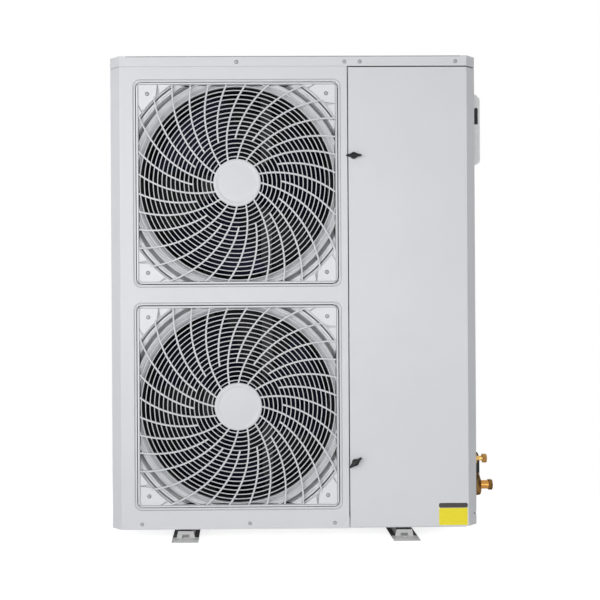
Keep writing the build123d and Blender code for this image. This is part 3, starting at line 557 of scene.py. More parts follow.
def grille_frame(shape):
    """Square frame with a rounded front."""
    profile = ((0, RECESS_FLOOR), (0, RIB_FRONT + 2), (0.6, RIB_FRONT + 0.6), (2, RIB_FRONT),
               (4.6, RIB_FRONT), (5.6, RIB_FRONT + 0.8), (6, RIB_FRONT + 2.2), (6, RECESS_FLOOR))
    squares = [(rounded_square(GRILLE_HALF - inset, GRILLE_CORNER - inset), y) for inset, y in profile]
    shape.loft(squares, wrap_rows=True)


def hub_disc(shape):
    """Domed disc in the middle, with a raised rim and a step inside it."""
    front = RIB_FRONT - DOME - 2
    rim = ((4, 12), (0, 12), (0, 3.2), (0.9, 1.2), (3, 0.4), (10, 0.4), (12.5, 1.9), (13.5, 1.9))
    profile = [(HUB_R - inset, front + back) for inset, back in rim]
    profile += [(44, front + 1.4), (20, front + 1.1), (0.5, front + 1)]
    shape.turned(ORIGIN, "Y", profile, 96)


def grille(tier):
    """Moulded swirl grille with long and short ribs."""
    shape = Shape()
    grille_frame(shape)
    corner_plates(shape)
    # frame and corner plates take the lighter copy of the coat, painted light
    shape.tints = [1] * len(shape.tints)
    for k in range(RING_COUNT):
        ring(shape, RING_FIRST + RING_PITCH * k)
    for k in range(LONG_RIBS):
        start = FIRST_RIB + 360 / LONG_RIBS * k
        swirl_rib(shape, start, HUB_R - 2)
        swirl_rib(shape, start + 180 / LONG_RIBS, RING_FIRST + RING_PITCH * SHORT_RIB_RING - 1)
    rim_ring(shape)
    hub_disc(shape)
    shape.move(FAN_X, FAN_Z[tier])
    shape.piece(f"{tier}_swirl_grille", "grille_plastic", [f"{tier}_grille"], more=[PLATE_PAINTED_LIGHT])


def pan_head(shape, place, axis, out, washer, head):
    """Washer and domed head with a cross recess, on a face across the axis; washer and cross are painted
    dark as shade.
    """
    washer_profile = ((washer, 0), (washer, 0.4), (washer - 0.4, 0.6), (head, 0.6))
    head_profile = ((head, 0.4), (head, 1.1), (head * 0.85, 1.7), (head * 0.5, 2.05), (0.3, 2.15))
    # tint 1 is painted shade: a dark ring round the head
    shape.turned(place, axis, [(radius, along * out) for radius, along in washer_profile], 28, 1)
    shape.turned(place, axis, [(radius, along * out) for radius, along in head_profile], 24)
    index = "XYZ".index(axis)
    others = [i for i in range(3) if i != index]
    # the cross recess is drawn as thin dark bars of painted shade
    for long_way, short_way in (others, others[::-1]):
        ends = {long_way: (-head / 2, head / 2), short_way: (-0.45, 0.45), index: (1.9 * out, 2.19 * out)}
        xs, ys, zs = ([place[i] + end for end in ends[i]] for i in range(3))
        shape.add([(x, y, z) for x in xs for y in ys for z in zs], BOX_FACES, 1)


def grille_screws():
    """Pan heads on washers in the corner plates; the washers and cross recesses carry painted shade."""
    shape = Shape()
    for height in FAN_Z.values():
        for dx in (-SCREW_OFFSET, SCREW_OFFSET):
            for dz in (-SCREW_OFFSET, SCREW_OFFSET):
                pan_head(shape, (FAN_X + dx, RIB_FRONT + 2, height + dz), "Y", -1, 5.6, 3.9)
    shape.piece("grille_screw_heads", "steel", ["grille_screws"], [SCREW_HEAD, SCREW_RING_PAINTED_SHADE])


# ---- bell mouths and recesses
MOUTH_R = 261
MOUTH_END = -108
MOUTH_PROFILE = (
    (321.5, -189), (321, -184), (318.8, -184), (318.2, -190.6), (316.8, -192), (313.4, -192),
    (312.2, -190.6), (311.8, -184), (309.6, -184), (309, -190.4), (307.5, -192), (303.4, -192),
    (302, -190.6), (301.5, -178), (300.4, -176.4), (292.8, -176.4), (291.6, -178), (291, -190),
    (289.6, -191.6), (286, -192), (281, -190.9), (275, -187.8), (269, -183), (264.6, -176.8),
    (262.2, -170), (MOUTH_R, -162),
)
GROOVE = (291.5, 300.5)  # radii of the groove, tinted grey as painted shade
GROOVE_FACE = -185  # painted shade lies behind this depth
THROAT_SHADE_EDGE = 266  # the throat inside this radius is painted black, as shade
LEDGE_HALF = 280.4
LEDGE_Y = -197.6
GAP_FLOOR_Y = -192.2
SHADE_LINES = ((281.2, 282.6, FRONT), (267.2, 268.8, RIB_FRONT))  # inner and outer half size, face, of two lines of painted shade
LINE_CENTRE = 263  # how far out the centres of the lines' corners are


def mouth_depth(radius):
    """Depth of the bell mouth's face at a radius."""
    for (r0, y0), (r1, y1) in zip(MOUTH_PROFILE, MOUTH_PROFILE[1:]):
        if r1 <= radius <= r0 and r0 > r1:
            return y0 + (y1 - y0) * (r0 - radius) / (r0 - r1)
    return MOUTH_PROFILE[0][1]


def bell_mouth(tier):
    """Air ring behind the grille, cut square where it meets the sides of the recess."""
    shape = Shape()
    turns = full_turn(240)
    rows = []
    for radius, y in MOUTH_PROFILE:
        row = []
        for a in turns:
            reach = (GRILLE_INNER - 1) / max(abs(cos(a)), abs(sin(a)))
            r, depth = (radius, y) if radius <= reach else (reach, mouth_depth(reach))
            row.append((r * cos(a), depth, r * sin(a)))
        rows.append(row)
    for first, second, (r0, y0), (r1, y1) in zip(rows, rows[1:], MOUTH_PROFILE, MOUTH_PROFILE[1:]):
        middle = (r0 + r1) / 2
        # painted shade: the throat's inner part is made black
        tint = 1 if middle < THROAT_SHADE_EDGE else 0
        # painted shade: the groove's floor is tinted grey
        if GROOVE[0] < middle < GROOVE[1] and max(y0, y1) > GROOVE_FACE:
            tint = 2
        shape.strip([first, second], tint=tint)
    # the throat's end is painted black too, as shade
    throat = [rows[-1]]
    for radius in (MOUTH_R, MOUTH_R + 1.5):
        throat.append([(radius * cos(a), MOUTH_END, radius * sin(a)) for a in turns])
    shape.strip(throat, tint=1)
    shape.move(FAN_X, FAN_Z[tier])
    # black for painted shade in the throat, grey for painted shade in the groove
    painted_shades = [FINISHES["rubber"], GROOVE_PAINTED_SHADE]
    shape.piece(f"{tier}_air_ring", "painted_panel", [f"{tier}_bell_mouth"], more=painted_shades, sharp=60)


def recess_ledge(tier):
    """Flat step round the grille, painted shade on the wall and floor of the gap, and two fine lines of
    painted shade.
    """
    shape = Shape()
    rim = rounded_square(LEDGE_HALF, 17.5)
    step = [(rim, LEDGE_Y + 2.6), (rim, LEDGE_Y)]
    for inset, y in ((4, LEDGE_Y), (4.6, LEDGE_Y + 0.6), (4.8, GAP_FLOOR_Y)):
        step.append((rounded_square(LEDGE_HALF - inset, 15), y))
    shape.loft(step)
    # painted shade on the wall and floor of the gap round the grille
    shape.loft(step[-2:] + [(rounded_square(GRILLE_HALF - 0.4, 14), GAP_FLOOR_Y)], tint=1)
    # two fine lines of painted shade along the rounded edges of the recess and the grille's rim
    for inner, outer, face in SHADE_LINES:
        inside, outside = (rounded_square(half, half - LINE_CENTRE) for half in (inner, outer))
        front, back = face - 0.06, face + 0.24
        line = [(inside, front), (outside, front), (outside, back), (inside, back)]
        shape.loft(line, wrap_rows=True, tint=2)
    shape.move(FAN_X, FAN_Z[tier])
    shape.piece(f"{tier}_recess_ledge", "painted_panel", more=[GAP_PAINTED_SHADE, LINE_PAINTED_SHADE])


# ---- fans
BLADE_ANGLES = ((62, -38, 38), (106, -34, 40.5), (150, -29, 44), (200, -24.5, 48),
                (250, -19, 53))  # radius, trailing and leading angle in degrees
BLADE_ROOT = 60
BLADE_TIP = 250
TIP_ROUND = 14  # the blade's corners are rounded over this much of its length
BEND_R = 700
BLADE_PITCH = radians(16)
BLADE_Y = -92
BLADE_TWIST = radians(8)
BLADE_ROWS = 16
BLADE_COLUMNS = 22
FAN_PHASES = (-1.6, 118.4, 238.4)
FAN_HUB_R = 66
FAN_HUB_WEBS = 8


def blade_limits(radius):
    """Trailing and leading angle of a blade at a radius, in degrees."""
    for (r0, t0, l0), (r1, t1, l1) in zip(BLADE_ANGLES, BLADE_ANGLES[1:]):
        if radius <= r1:
            share = (radius - r0) / (r1 - r0)
            return t0 + (t1 - t0) * share, l0 + (l1 - l0) * share
    return BLADE_ANGLES[-1][1:]


def blade_surface(x, z):
    """Depth of the blade's middle sheet, bent about a line across the blade."""
    tangent = z * cos(BLADE_TWIST) - x * sin(BLADE_TWIST)
    middle = BEND_R * sin(BLADE_PITCH)
    return BLADE_Y - BEND_R * cos(BLADE_PITCH) + sqrt(BEND_R ** 2 - (tangent - middle) ** 2)


def blade_skin(side, phase):
    """Points over one face of a blade, which thins towards its edges."""
    points = []
    for i in range(BLADE_ROWS + 1):
        radius = BLADE_ROOT + (BLADE_TIP - BLADE_ROOT) * i / BLADE_ROWS
        trailing, leading = blade_limits(max(radius, BLADE_ANGLES[0][0]))
        tip = max(0, (radius - BLADE_TIP + TIP_ROUND) / TIP_ROUND)
        inset = 5 * (1 - sqrt(max(0, 1 - tip ** 2)))
        for k in range(BLADE_COLUMNS + 1):
            share = k / BLADE_COLUMNS
            angle = radians(trailing + inset + (leading - trailing - 2 * inset) * share)
            x, z = radius * cos(angle), radius * sin(angle)
            edge = min(share, 1 - share, (BLADE_ROWS - i) / BLADE_ROWS * 1.4)
            half = 0.5 + 1.5 * min(1, edge / 0.16) ** 0.5
            px, pz = spun(x, z, radians(phase))
            points.append((px, blade_surface(x, z) + side * half, pz))
    return points


def blade(shape, phase):
    """Sickle blade: two faces and the border that joins them."""
    points = blade_skin(-1, phase) + blade_skin(1, phase)
    behind = len(points) // 2
    count = BLADE_COLUMNS + 1
    faces = []
    for i in range(BLADE_ROWS):
        for k in range(BLADE_COLUMNS):
            corner = i * count + k
            quad = (corner, corner + 1, corner + count + 1, corner + count)
            faces.append(quad)
            faces.append(tuple(behind + v for v in reversed(quad)))
    border = list(range(count))
    border += [i * count + BLADE_COLUMNS for i in range(1, BLADE_ROWS + 1)]
    border += [BLADE_ROWS * count + k for k in range(BLADE_COLUMNS - 1, -1, -1)]
    border += [i * count for i in range(BLADE_ROWS - 1, 0, -1)]
    for i, first in enumerate(border):
        second = border[(i + 1) % len(border)]
        faces.append((first, first + behind, second + behind, second))
    shape.add(points, faces)


def fan(tier):
    """Three blades on a cupped hub with webs inside it, and its nut."""
    wheel = Shape()
    for phase in FAN_PHASES:
        blade(wheel, phase)
    inner = FAN_HUB_R - 5
    inside = ((inner, -75), (inner, -144), (30, -145), (14, -145), (14, -150), (6.4, -150))
    outside = ((6.4, -150), (16, -150), (18, -147), (36, -149.5), (60, -148.5), (64.5, -146),
               (FAN_HUB_R, -142), (FAN_HUB_R, -75), (inner, -75))
    for profile in (inside, outside):
        wheel.turned(ORIGIN, "Y", profile, 64)
    for a in full_turn(FAN_HUB_WEBS):
        corners = ((14, 1.2), (inner, 1.2), (inner, -1.2), (14, -1.2))
        wheel.slab([spun(radius, side, a) for radius, side in corners], -144, -100)
    nut = Shape()
    nut.prism(ORIGIN, "Y", 19, -157.5, -150, 1.2)
    for shape in (wheel, nut):
        shape.move(FAN_X, FAN_Z[tier])
    wheel.piece(f"{tier}_fan_wheel", "black_plastic", [f"{tier}_fan"], sharp=40, body=f"{tier}_fan")
    nut.piece(f"{tier}_fan_nut_turned", "steel", [f"{tier}_fan_nut"], body=f"{tier}_fan")


# ---- casing details
LIP_Z = TOP - 16  # height of the screws in the folded lip
PANEL_FOOT_Z = 45
LATCH_X = 163.5
LATCHES = {"lower": (209, 40), "upper": (1044, 0)}  # height, and degrees that the wing is turned
CARD = (390, 470.5, 35, 97)
CARD_BAND = 14


def casing_screws():
    """Screws of the cover's lips and of the fan panel's lower edge."""
    shape = Shape()
    for x in (FAN_X, 139.6, 181.5, 442.4):
        pan_head(shape, (x, FRONT, LIP_Z), "Y", -1, 5.3, 3.9)
    for x in (-417, -124, 106.7):
        pan_head(shape, (x, FRONT, PANEL_FOOT_Z), "Y", -1, 5, 4)
    for side in (-1, 1):
        for y in (-156, 130):
            pan_head(shape, (side * HALF, y, LIP_Z), "X", side, 6, 4.4)
    shape.piece("casing_screw_heads", "steel", ["casing_screws"], [SCREW_HEAD, SCREW_RING_PAINTED_SHADE])


def cover_edge():
    """Rolled upper edge of the top cover: a fine darker line of painted shade."""
    shape = Shape()
    section = ((0.4, -2.6), (-0.3, -2.4), (-0.4, -1.4), (-0.1, -0.5), (0.6, -0.05))
    shape.strip([[(x, FRONT + y, TOP + z) for y, z in section] for x in (-455, 0, 455)], caps=True)
    shape.piece("cover_edge_painted_shade", "painted_panel", materials=[LINE_PAINTED_SHADE])


def latch_knob(tier):
    """Black wing knob with a waisted grip."""
    height, turn = LATCHES[tier]
    shape = Shape()
    boss = ((3.9, 10), (3.9, -0.3), (9.5, -0.3), (9.5, -5), (8.6, -7.5), (3, -9))
    shape.turned((0, FRONT, 0), "Y", boss, 32)
    wing = []
    for y, grow in ((-4, 0.4), (-12, 0.2), (-15, -0.4), (-16, -1.6)):
        outline = []
        for a in full_turn(48):
            x = (21 + grow) * cos(a)
            half = 3 + 4.6 * exp(-(x / 9.5) ** 2) + grow
            outline.append((x, half * abs(sin(a)) ** 0.55 * (1 if sin(a) >= 0 else -1)))
        wing.append((outline, FRONT + y))
    shape.loft(wing, caps=True)
    shape.move(LATCH_X, height, radians(turn))
    shape.piece(f"{tier}_wing_knob", "knob_plastic", [f"{tier}_latch_knob"], sharp=50, body=f"{tier}_latch")


def yellow_card():
    """Blank yellow card with a dark head band, low on the door."""
    x0, x1, z0, z1 = CARD
    band = z1 - CARD_BAND
    shape = Shape()
    shape.slab(rounded_box(x0, x1, z0, z1, 5.5), FRONT - 0.25, FRONT + 0.05, 2)
    shape.slab(rounded_box(x0 + 1.3, x1 - 1.3, z0 + 1.3, band - 0.4, 1.2), FRONT - 0.35, FRONT - 0.2, 0)
    shape.slab(rounded_box(x0 + 0.8, x1 - 0.8, band + 0.4, z1 - 0.5, 5), FRONT - 0.35, FRONT - 0.2, 1)
    finishes = [CARD_YELLOW, CARD_DARK, CARD_EDGE]
    shape.piece("blank_yellow_card", "painted_panel", materials=finishes, body="door")


# ---- stop valves
VALVE_OUT = HALF + 15  # the suction valve's upright body stands here
LIQUID_NUT = (529.5, 541)  # where the flare nuts start and end
SUCTION_NUT = (545.4, 556.5)


def hollow_nut(shape, z, across, bore, ends, tint):
    """Flare nut along X: turned corners and a coned bore mouth; flats up and down."""
    x0, x1 = ends
    centre = (0, VALVE_Y, z)
    turns = full_turn(48)
    rows = []
    for along, eased in ((x0, 1.7), (x0 + 1.2, 0.2), (x1 - 2, 0.2), (x1, 1.7)):
        limit = across / sqrt(3) - eased
        radii = [min(across / 2 / cos(a % (pi / 3) - pi / 6), limit) for a in turns]
        rows.append([about(centre, "X", along, radius, a) for radius, a in zip(radii, turns)])
    for along, radius in ((x1, bore + 1.6), (x1 - 1.2, bore + 0.2), (x0, bore + 0.2)):
        rows.append([about(centre, "X", along, radius, a) for a in turns])
    shape.strip(rows, wrap_rows=True, tint=tint)


def liquid_valve():
    """Smaller forged stop valve."""
    shape = Shape()
    neck = ((8, -4), (8, 15), (6.6, 17), (6.6, 26), (7.8, 28), (7.8, 30), (3, 30))
    shape.turned((HALF, VALVE_Y, LIQUID_Z), "X", neck, 36)
    shape.turned((HALF + 7, VALVE_Y, LIQUID_Z), "Z", ((7, -14), (8, -12), (8, 9), (7, 12)), 32)
    shape.piece("liquid_stop_valve", "brass", ["liquid_valve"])


def suction_valve():
    """Larger stop valve with an upright body of darker brass."""
    shape = Shape()
    neck = ((10.5, -6), (10.5, 22), (12.3, 24), (12.1, 41), (12.4, 43), (12.4, 45.4), (6, 45.4))
    shape.turned((HALF, VALVE_Y, SUCTION_Z), "X", neck, 40, 1)
    body = ((6, -29), (10, -27), (11.5, -22), (12.5, -18), (12.5, 8), (10.5, 16), (8, 24), (4, 24))
    shape.turned((VALVE_OUT, VALVE_Y, SUCTION_Z), "Z", body, 36)
    shape.piece("suction_stop_valve", "brass", ["suction_valve"], [DARK_BRASS, AMBER_BRASS])


def valve_nuts():
    """Both flare nuts, and the hexagon cap on the upright body."""
    shape = Shape()
    hollow_nut(shape, LIQUID_Z, 24, 4.85, LIQUID_NUT, 0)
    hollow_nut(shape, SUCTION_Z, 28, 8.05, SUCTION_NUT, 1)
    shape.prism((VALVE_OUT, VALVE_Y, SUCTION_Z), "Z", 13, 24, 33, 1.4, 1)
    shape.piece("flare_nuts_and_cap", "brass", ["valve_nuts"], [NUT_BRASS, DARK_BRASS], sharp=30)


def valve_mount():
    """Black plate on the side panel, with a gusset and a small tab."""
    shape = Shape()
    gusset = [(HALF, 140), (HALF + 23, 140), (HALF + 23, 206), (HALF + 17, 220), (HALF, 222)]
    shape.slab(gusset, VALVE_Y + 3, VALVE_Y + 5.5)
    plate = rounded_box(VALVE_Y - 38, VALVE_Y + 38, SUCTION_Z - 33, LIQUID_Z + 25, 6)
    shape.strip([[(x, y, z) for y, z in plate] for x in (HALF + 0.1, HALF + 2.4)], caps=True)
    shape.slab([(HALF + 2, 132), (HALF + 2, 150), (HALF + 14, 132)], VALVE_Y + 20, VALVE_Y + 22.5)
    shape.piece("valve_mount_plate", "black_paint", ["valve_bracket"], [FINISHES["rubber"]])


# ---- soft linings and small fittings
PAD_X = (200, 455)
PAD_FOOT = 120
PAD_HEIGHT = 280
PAD_COUNT = 4
PAD_BACK = FRONT + 8
SEAL_X = 154
SEAL_BACK = -185
SEAL_HEIGHTS = (70.2, 400, 800, 1274.8)  # foot, two stops between, head


def door_lining():
    """Glued felt lining inside the door, pressed into pads."""
    shape = Shape()
    outline = ((0, FRONT + 1.5), (0, PAD_BACK - 3), (1.5, PAD_BACK - 1), (5, PAD_BACK), (12, PAD_BACK - 0.6),
               (30, PAD_BACK - 0.2))
    x0, x1 = PAD_X
    for k in range(PAD_COUNT):
        z0 = PAD_FOOT + PAD_HEIGHT * k
        z1 = z0 + PAD_HEIGHT
        shape.loft([(rounded_box(x0 + i, x1 - i, z0 + i, z1 - i, 14), y) for i, y in outline], caps=True)
    pad = shape.piece("door_felt_lining", "foam", ["door_insulation"], body="door")


def door_seal():
    """Foam strip on the jamb, crowned towards the door."""
    shape = Shape()
    section = ((-2.4, 0), (-2.4, -1.6), (-1.4, -2.8), (0, -3), (1.4, -2.8), (2.4, -1.6), (2.4, 0))
    shape.strip([[(SEAL_X + x, SEAL_BACK + y, z) for x, y in section] for z in SEAL_HEIGHTS], caps=True)
    strip = shape.piece("door_seal_strip", "foam", ["door_seal"])


def cover_fittings():
    """Black grommet in the slot of the terminal cover, and its two small screws."""
    shape = Shape()
    shape.slab(rounded_box(HALF + 8.2, HALF + 16, 1138.4, 1183, 3.8), -141, -138.6)
    shape.piece("cable_slot_grommet", "rubber", ["cable_membrane"])
    screws = Shape()
    for z in (1070, 1109):
        pan_head(screws, (HALF + 13, -140, z), "Y", -1, 2.6, 2.2)
    screws.piece("terminal_cover_screws", "steel", materials=[BRIGHT_SCREW, BRIGHT_SCREW])


# ---- coil guards
GUARD_LEVELS = range(64, 1266, 30)  # heights of the level wires
GUARD_FOOT = 62
GUARD_HEAD = 1262


def wire_guard(name, node, level_ends, uprights):
    """Welded guard of level wires on thicker uprights; every place is a point (x, y)."""
    shape = Shape()
    for z in GUARD_LEVELS:
        shape.tube([(x, y, z) for x, y in level_ends], 1.2, 8)
    for x, y in uprights:
        shape.tube([(x, y, GUARD_FOOT), (x, y, GUARD_HEAD)], 1.5, 8)
    shape.piece(name, "guard_wire", [node])


def wire_guards():
    """The guard behind the coil and the one beside it."""
    rear_y = REAR - 3
    rear_uprights = [(x, REAR - 5) for x in range(-478, 112, 96)]
    wire_guard("rear_wire_guard", "rear_coil_guard", ((-495, rear_y), (115, rear_y)), rear_uprights)
    left_x = 3 - HALF
    left_uprights = [(5 - HALF, y) for y in range(-140, 180, 78)]
    wire_guard("left_wire_guard", "left_coil_guard", ((left_x, -150), (left_x, 180)), left_uprights)


# ---- machine compartment
COMPRESSOR = (330, 30)  # places (x, y) of the axes
COMPRESSOR_FEET = ((430, 30), (280, 117), (280, -57))
RECEIVER = (215, 130)
ACCUMULATOR = (430, 127)
LIQUID_LINE = (474, -110)
CAPACITOR = (285, -87)
PAN_TOP = 31.5
FOOT_PLATE = (50, 54)  # underside and top of the compressor's foot plate
COMPRESSOR_R = 80
ACCUMULATOR_R = 44
STRAP_Z = 330
GLASS_Z = 309
COIL_FACE = (120, 168)  # where the hairpins stand out of the coil's end plate
HAIRPIN_R = 13


def dished(radius, low, high, crown):
    """Profile of a pressed vessel with domed ends."""
    angles = [pi / 2 * i / 6 for i in range(7)]
    profile = [(max(radius * sin(a), 0.5), low + crown * (1 - cos(a))) for a in angles]
    profile += [(max(radius * sin(a), 0.5), high - crown * (1 - cos(a))) for a in reversed(angles)]
    return profile


def bent(points, bend, steps=7):
    """Route of a pipe: straight runs joined by bends."""
    stops = [Vector(point) for point in points]
    route = [stops[0]]
    for before, corner, after in zip(stops, stops[1:], stops[2:]):
        start = corner + (before - corner).normalized() * bend
        end = corner + (after - corner).normalized() * bend
        for i in range(steps + 1):
            t = i / steps
            route.append(start * (1 - t) ** 2 + corner * 2 * t * (1 - t) + end * t ** 2)
    route.append(stops[-1])
    return route


def upright(shape, place, *forms):
    """Turned forms on an upright axis; each is (profile, sides)."""
    for profile, sides in forms:
        shape.turned((*place, 0), "Z", profile, sides)


def compressor():
    """Welded shell with a seam bead, on a three-armed foot plate."""
    shape = Shape()
    r = COMPRESSOR_R
    bead = ((r, 238), (r + 1.6, 239), (r + 1.6, 243), (r, 244))
    shell = dished(r, FOOT_PLATE[1], 430, 34)
    upright(shape, COMPRESSOR, (shell, 64), (bead, 64), (((9, 425), (9, 446)), 24))
    outline = []
    for x, y in COMPRESSOR_FEET:
        facing = atan2(y - COMPRESSOR[1], x - COMPRESSOR[0])
        for spread in (-1.2, -0.6, 0, 0.6, 1.2):
            outline.append((x + 18 * cos(facing + spread), y + 18 * sin(facing + spread)))
    shape.strip([[(x, y, z) for x, y in outline] for z in FOOT_PLATE], caps=True)
    shape.piece("compressor_shell", "black_paint", ["compressor"])


def compressor_bolts():
    """Bolts of the foot plate, through their grommets."""
    shape = Shape()
    for x, y in COMPRESSOR_FEET:
        shape.turned((x, y, 0), "Z", ((5, PAN_TOP), (5, FOOT_PLATE[1])), 16)
        shape.prism((x, y, 0), "Z", 15.5, FOOT_PLATE[1], FOOT_PLATE[1] + 6, 1)
    shape.piece("compressor_bolt_set", "steel", ["compressor_bolts"])


def receiver():
    """Upright liquid receiver on a short skirt."""
    shape = Shape()
    upright(shape, RECEIVER, (dished(50, 60, 370, 22), 56), (((26, PAN_TOP), (26, 62)), 32),
            (((8, 365), (8, 382)), 20))
    shape.piece("liquid_receiver_shell", "black_paint", ["liquid_receiver"])


def filter_drier():
    """Spun copper drier in the liquid line."""
    shape = Shape()
    profile = ((6.2, 330), (7, 334), (20, 344), (22, 348), (22, 432), (20, 436), (7, 446), (6.2, 450))
    upright(shape, LIQUID_LINE, (profile, 40))
    shape.piece("filter_drier_shell", "copper", ["filter_drier"])


def accumulator():
    """Suction accumulator with a strap, held to the compressor by a short bar."""
    shape = Shape()
    r = ACCUMULATOR_R
    strap = ((r, STRAP_Z - 8), (r + 0.9, STRAP_Z - 7), (r + 0.9, STRAP_Z + 7), (r, STRAP_Z + 8))
    upright(shape, ACCUMULATOR, (dished(r, 60, 400, 20), 48), (((22, PAN_TOP), (22, 62)), 28),
            (((10, 395), (10, 410)), 20), (strap, 48))
    middle = Vector((*ACCUMULATOR, STRAP_Z))
    towards = (Vector((*COMPRESSOR, STRAP_Z)) - middle).normalized()
    shape.tube([middle + towards * 40, middle + towards * 60], 4, 12)
    shape.piece("suction_accumulator_shell", "black_paint", ["suction_accumulator"])


def sight_glass():
    """Brass body in the liquid line with a glass window that faces the door."""
    shape = Shape()
    shape.prism((*LIQUID_LINE, 0), "Z", 22, 288, 330, 1.5)
    centre = (*LIQUID_LINE, GLASS_Z)
    bezel = ((11.6, -6), (11.6, -18), (10.6, -19.8), (8.2, -19.8), (8, -18.4))
    shape.turned(centre, "Y", bezel, 36)
    shape.turned(centre, "Y", ((8, -18.4), (5, -18.9), (0.4, -19.1)), 36, 1)
    shape.piece("sight_glass_body", "sight_glass_brass", ["sight_glass"], more=[SIGHT_GREEN])


def run_capacitor():
    """Aluminium can with a rolled upper rim."""
    shape = Shape()
    profile = ((23, 1130), (25, 1132), (25, 1209), (25.6, 1211), (24, 1213), (10, 1212))
    upright(shape, CAPACITOR, (profile, 40))
    shape.piece("run_capacitor_can", "capacitor_case", ["run_capacitor"])


def pipe(name, node, radius, *runs):
    """Copper line made of several runs."""
    shape = Shape()
    for run in runs:
        shape.tube(run, radius, 16 if radius > 6 else 14)
    shape.piece(name, "copper", [node])


def pipes():
    """Discharge, suction and liquid lines."""
    coil_x, coil_y = COIL_FACE
    over = [(165, coil_y, 760), (165, coil_y, 1216), (coil_x, coil_y, 1216)]
    up = [(*COMPRESSOR, 446), (*COMPRESSOR, 760)]
    pipe("discharge_pipe_drawn", "discharge_pipe", 8, bent(up + over, 26))
    x, y = ACCUMULATOR
    down = [(x, VALVE_Y, 520), (x, VALVE_Y, SUCTION_Z), (HALF - 6, VALVE_Y, SUCTION_Z)]
    pipe("suction_pipe_drawn", "suction_pipe", 9, bent([(x, y, 410), (x, y, 520)] + down, 26))
    x, y = LIQUID_LINE
    rx, ry = RECEIVER
    to_valve = bent([(x, y, 288), (x, y, LIQUID_Z), (HALF - 4, y, LIQUID_Z)], 16)
    to_drier = bent([(rx, ry, 382), (rx, ry, 600), (rx, y, 600), (x, y, 600), (x, y, 450)], 22)
    from_coil = [(coil_x, ry + 15, 100), (rx - 42, ry + 15, 100)]
    pipe("liquid_pipes_drawn", "liquid_pipes", 6, to_valve, to_drier, from_coil)


def hairpins():
    """Return bends on the coil's end plate, one to every second tube row."""
    shape = Shape()
    x, y = COIL_FACE
    half_turn = [pi * k / 10 for k in range(11)]
    for row in range(0, 44, 2):
        z = 74 + 26.5 * row
        bend = [(x + 15 * sin(a), y, z + HAIRPIN_R - HAIRPIN_R * cos(a)) for a in half_turn]
        shape.tube([(x, y, z)] + bend + [(x, y, z + 2 * HAIRPIN_R)], 4.8, 10)
    shape.piece("coil_hairpin_ends", "copper", ["coil_return_bends"])


# ---- camera, in metres
CAMERA_PLACE = (-0.145, -3.10, 0.672)
CAMERA_YAW = radians(-0.7)
CAMERA_ROLL = radians(-0.33)
LENS = 64  # millimetres, on a sensor 36 wide
LENS_SHIFT = (0.0766, -0.012)


def add_camera():
    """Level camera with a shifted lens, so that upright edges stay upright."""
    data = bpy.data.cameras.new("camera")
    data.lens = LENS
    data.sensor_width = 36
    data.shift_x, data.shift_y = LENS_SHIFT
    data.clip_end = 50
    camera = new_object("camera", data)
    turn = Matrix.Rotation(CAMERA_YAW, 4, "Z") @ Matrix.Rotation(pi / 2, 4, "X")
    turn = turn @ Matrix.Rotation(CAMERA_ROLL, 4, "Z")
    camera.matrix_world = Matrix.Translation(CAMERA_PLACE) @ turn
    bpy.context.scene.camera = camera


# ---- light, floor, world
LAMPS = (  # name, place, size in metres, watts
    ("key", (-2.7, -3.7, 1.35), (2.6, 2.2), 77),
    ("front", (0.3, -4.7, 0.62), (3, 1.2), 57.5),
    ("back", (3.2, 3.4, 1.4), (2.6, 2), 78),
)
LAMP_TARGET = (0, 0, 0.6)
WORLD_TINT = (0.97, 0.98, 1, 1)
WORLD_STRENGTH = 0.22
WHITE = (1, 1, 1, 1)
FLOOR_HALF = 8
FLOOR_PAINT = (0.9, 0.9, 0.9, 1)
FLOOR_LIFT = 0.76  # added to the lit floor in direct view, so that it reads as white
FLOOR_FADE = (0.55, 1.2)  # metres from the middle over which the floor turns into plain white


def add_lamp(name, place, size, watts):
    """Plain rectangular lamp that points at the middle of the cabinet."""
    data = bpy.data.lights.new(name, "AREA")
    data.shape = "RECTANGLE"
    data.size, data.size_y = size
    data.energy = watts
    lamp = new_object(name, data)
    look = (Vector(LAMP_TARGET) - Vector(place)).to_track_quat("-Z", "Y")
    lamp.matrix_world = Matrix.Translation(place) @ look.to_matrix().to_4x4()


def direct_rays(nodes):
    """1 where a camera, glossy or clear ray meets the surface, otherwise 0."""
    path = nodes.node("ShaderNodeLightPath").outputs
    seen = nodes.maths("MAXIMUM", path["Is Camera Ray"], path["Is Glossy Ray"])
    return nodes.maths("MAXIMUM", seen, path["Is Transmission Ray"])


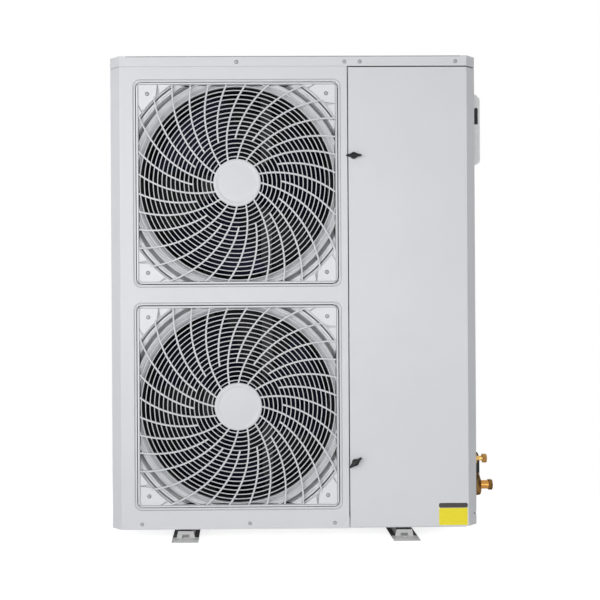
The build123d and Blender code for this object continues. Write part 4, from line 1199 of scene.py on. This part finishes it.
def add_world():
    """Faint even light; plain white where it is looked at directly."""
    world = bpy.data.worlds.new("studio")
    world.use_nodes = True
    nodes = Nodes(world.node_tree)
    light = nodes.node("ShaderNodeBackground", Color=WORLD_TINT, Strength=WORLD_STRENGTH).outputs[0]
    white = nodes.node("ShaderNodeBackground", Color=WHITE).outputs[0]
    nodes.node("ShaderNodeOutputWorld", nodes.mixed(direct_rays(nodes), light, white))
    bpy.context.scene.world = world


def add_floor():
    """Floor with the object's shadow, plain white further out."""
    mesh = bpy.data.meshes.new("floor")
    signs = ((-1, -1), (1, -1), (1, 1), (-1, 1))
    mesh.from_pydata([(x * FLOOR_HALF, y * FLOOR_HALF, 0) for x, y in signs], [], [(0, 1, 2, 3)])
    floor = new_object("floor", mesh)
    finish = Finish("floor_white")
    diffuse = finish.node("ShaderNodeBsdfDiffuse", Color=FLOOR_PAINT).outputs[0]
    lift = finish.node("ShaderNodeEmission", Strength=FLOOR_LIFT).outputs[0]
    lit = finish.node("ShaderNodeAddShader", diffuse, lift).outputs[0]
    white = finish.node("ShaderNodeEmission").outputs[0]
    length = finish.node("ShaderNodeVectorMath", finish.place, operation="LENGTH").outputs["Value"]
    ends = {"From_Min": FLOOR_FADE[0], "From_Max": FLOOR_FADE[1], "interpolation_type": "SMOOTHSTEP"}
    fade = finish.node("ShaderNodeMapRange", Value=length, **ends).outputs["Result"]
    seen = finish.mixed(fade, lit, white)
    finish.node("ShaderNodeOutputMaterial", finish.mixed(direct_rays(finish), diffuse, seen))
    mesh.materials.append(finish.material)


# ---- put it together
dress_nodes()
for level in FAN_Z:
    grille(level)
    bell_mouth(level)
    recess_ledge(level)
    fan(level)
    latch_knob(level)
grille_screws()
casing_screws()
yellow_card()
liquid_valve()
suction_valve()
valve_nuts()
valve_mount()
cover_fittings()
cover_edge()
door_lining()
door_seal()
wire_guards()
compressor()
compressor_bolts()
receiver()
filter_drier()
accumulator()
sight_glass()
run_capacitor()
pipes()
hairpins()
add_camera()
add_world()
add_floor()
for lamp in LAMPS:
    add_lamp(*lamp)

bpy.context.scene.view_settings.view_transform = "Standard"
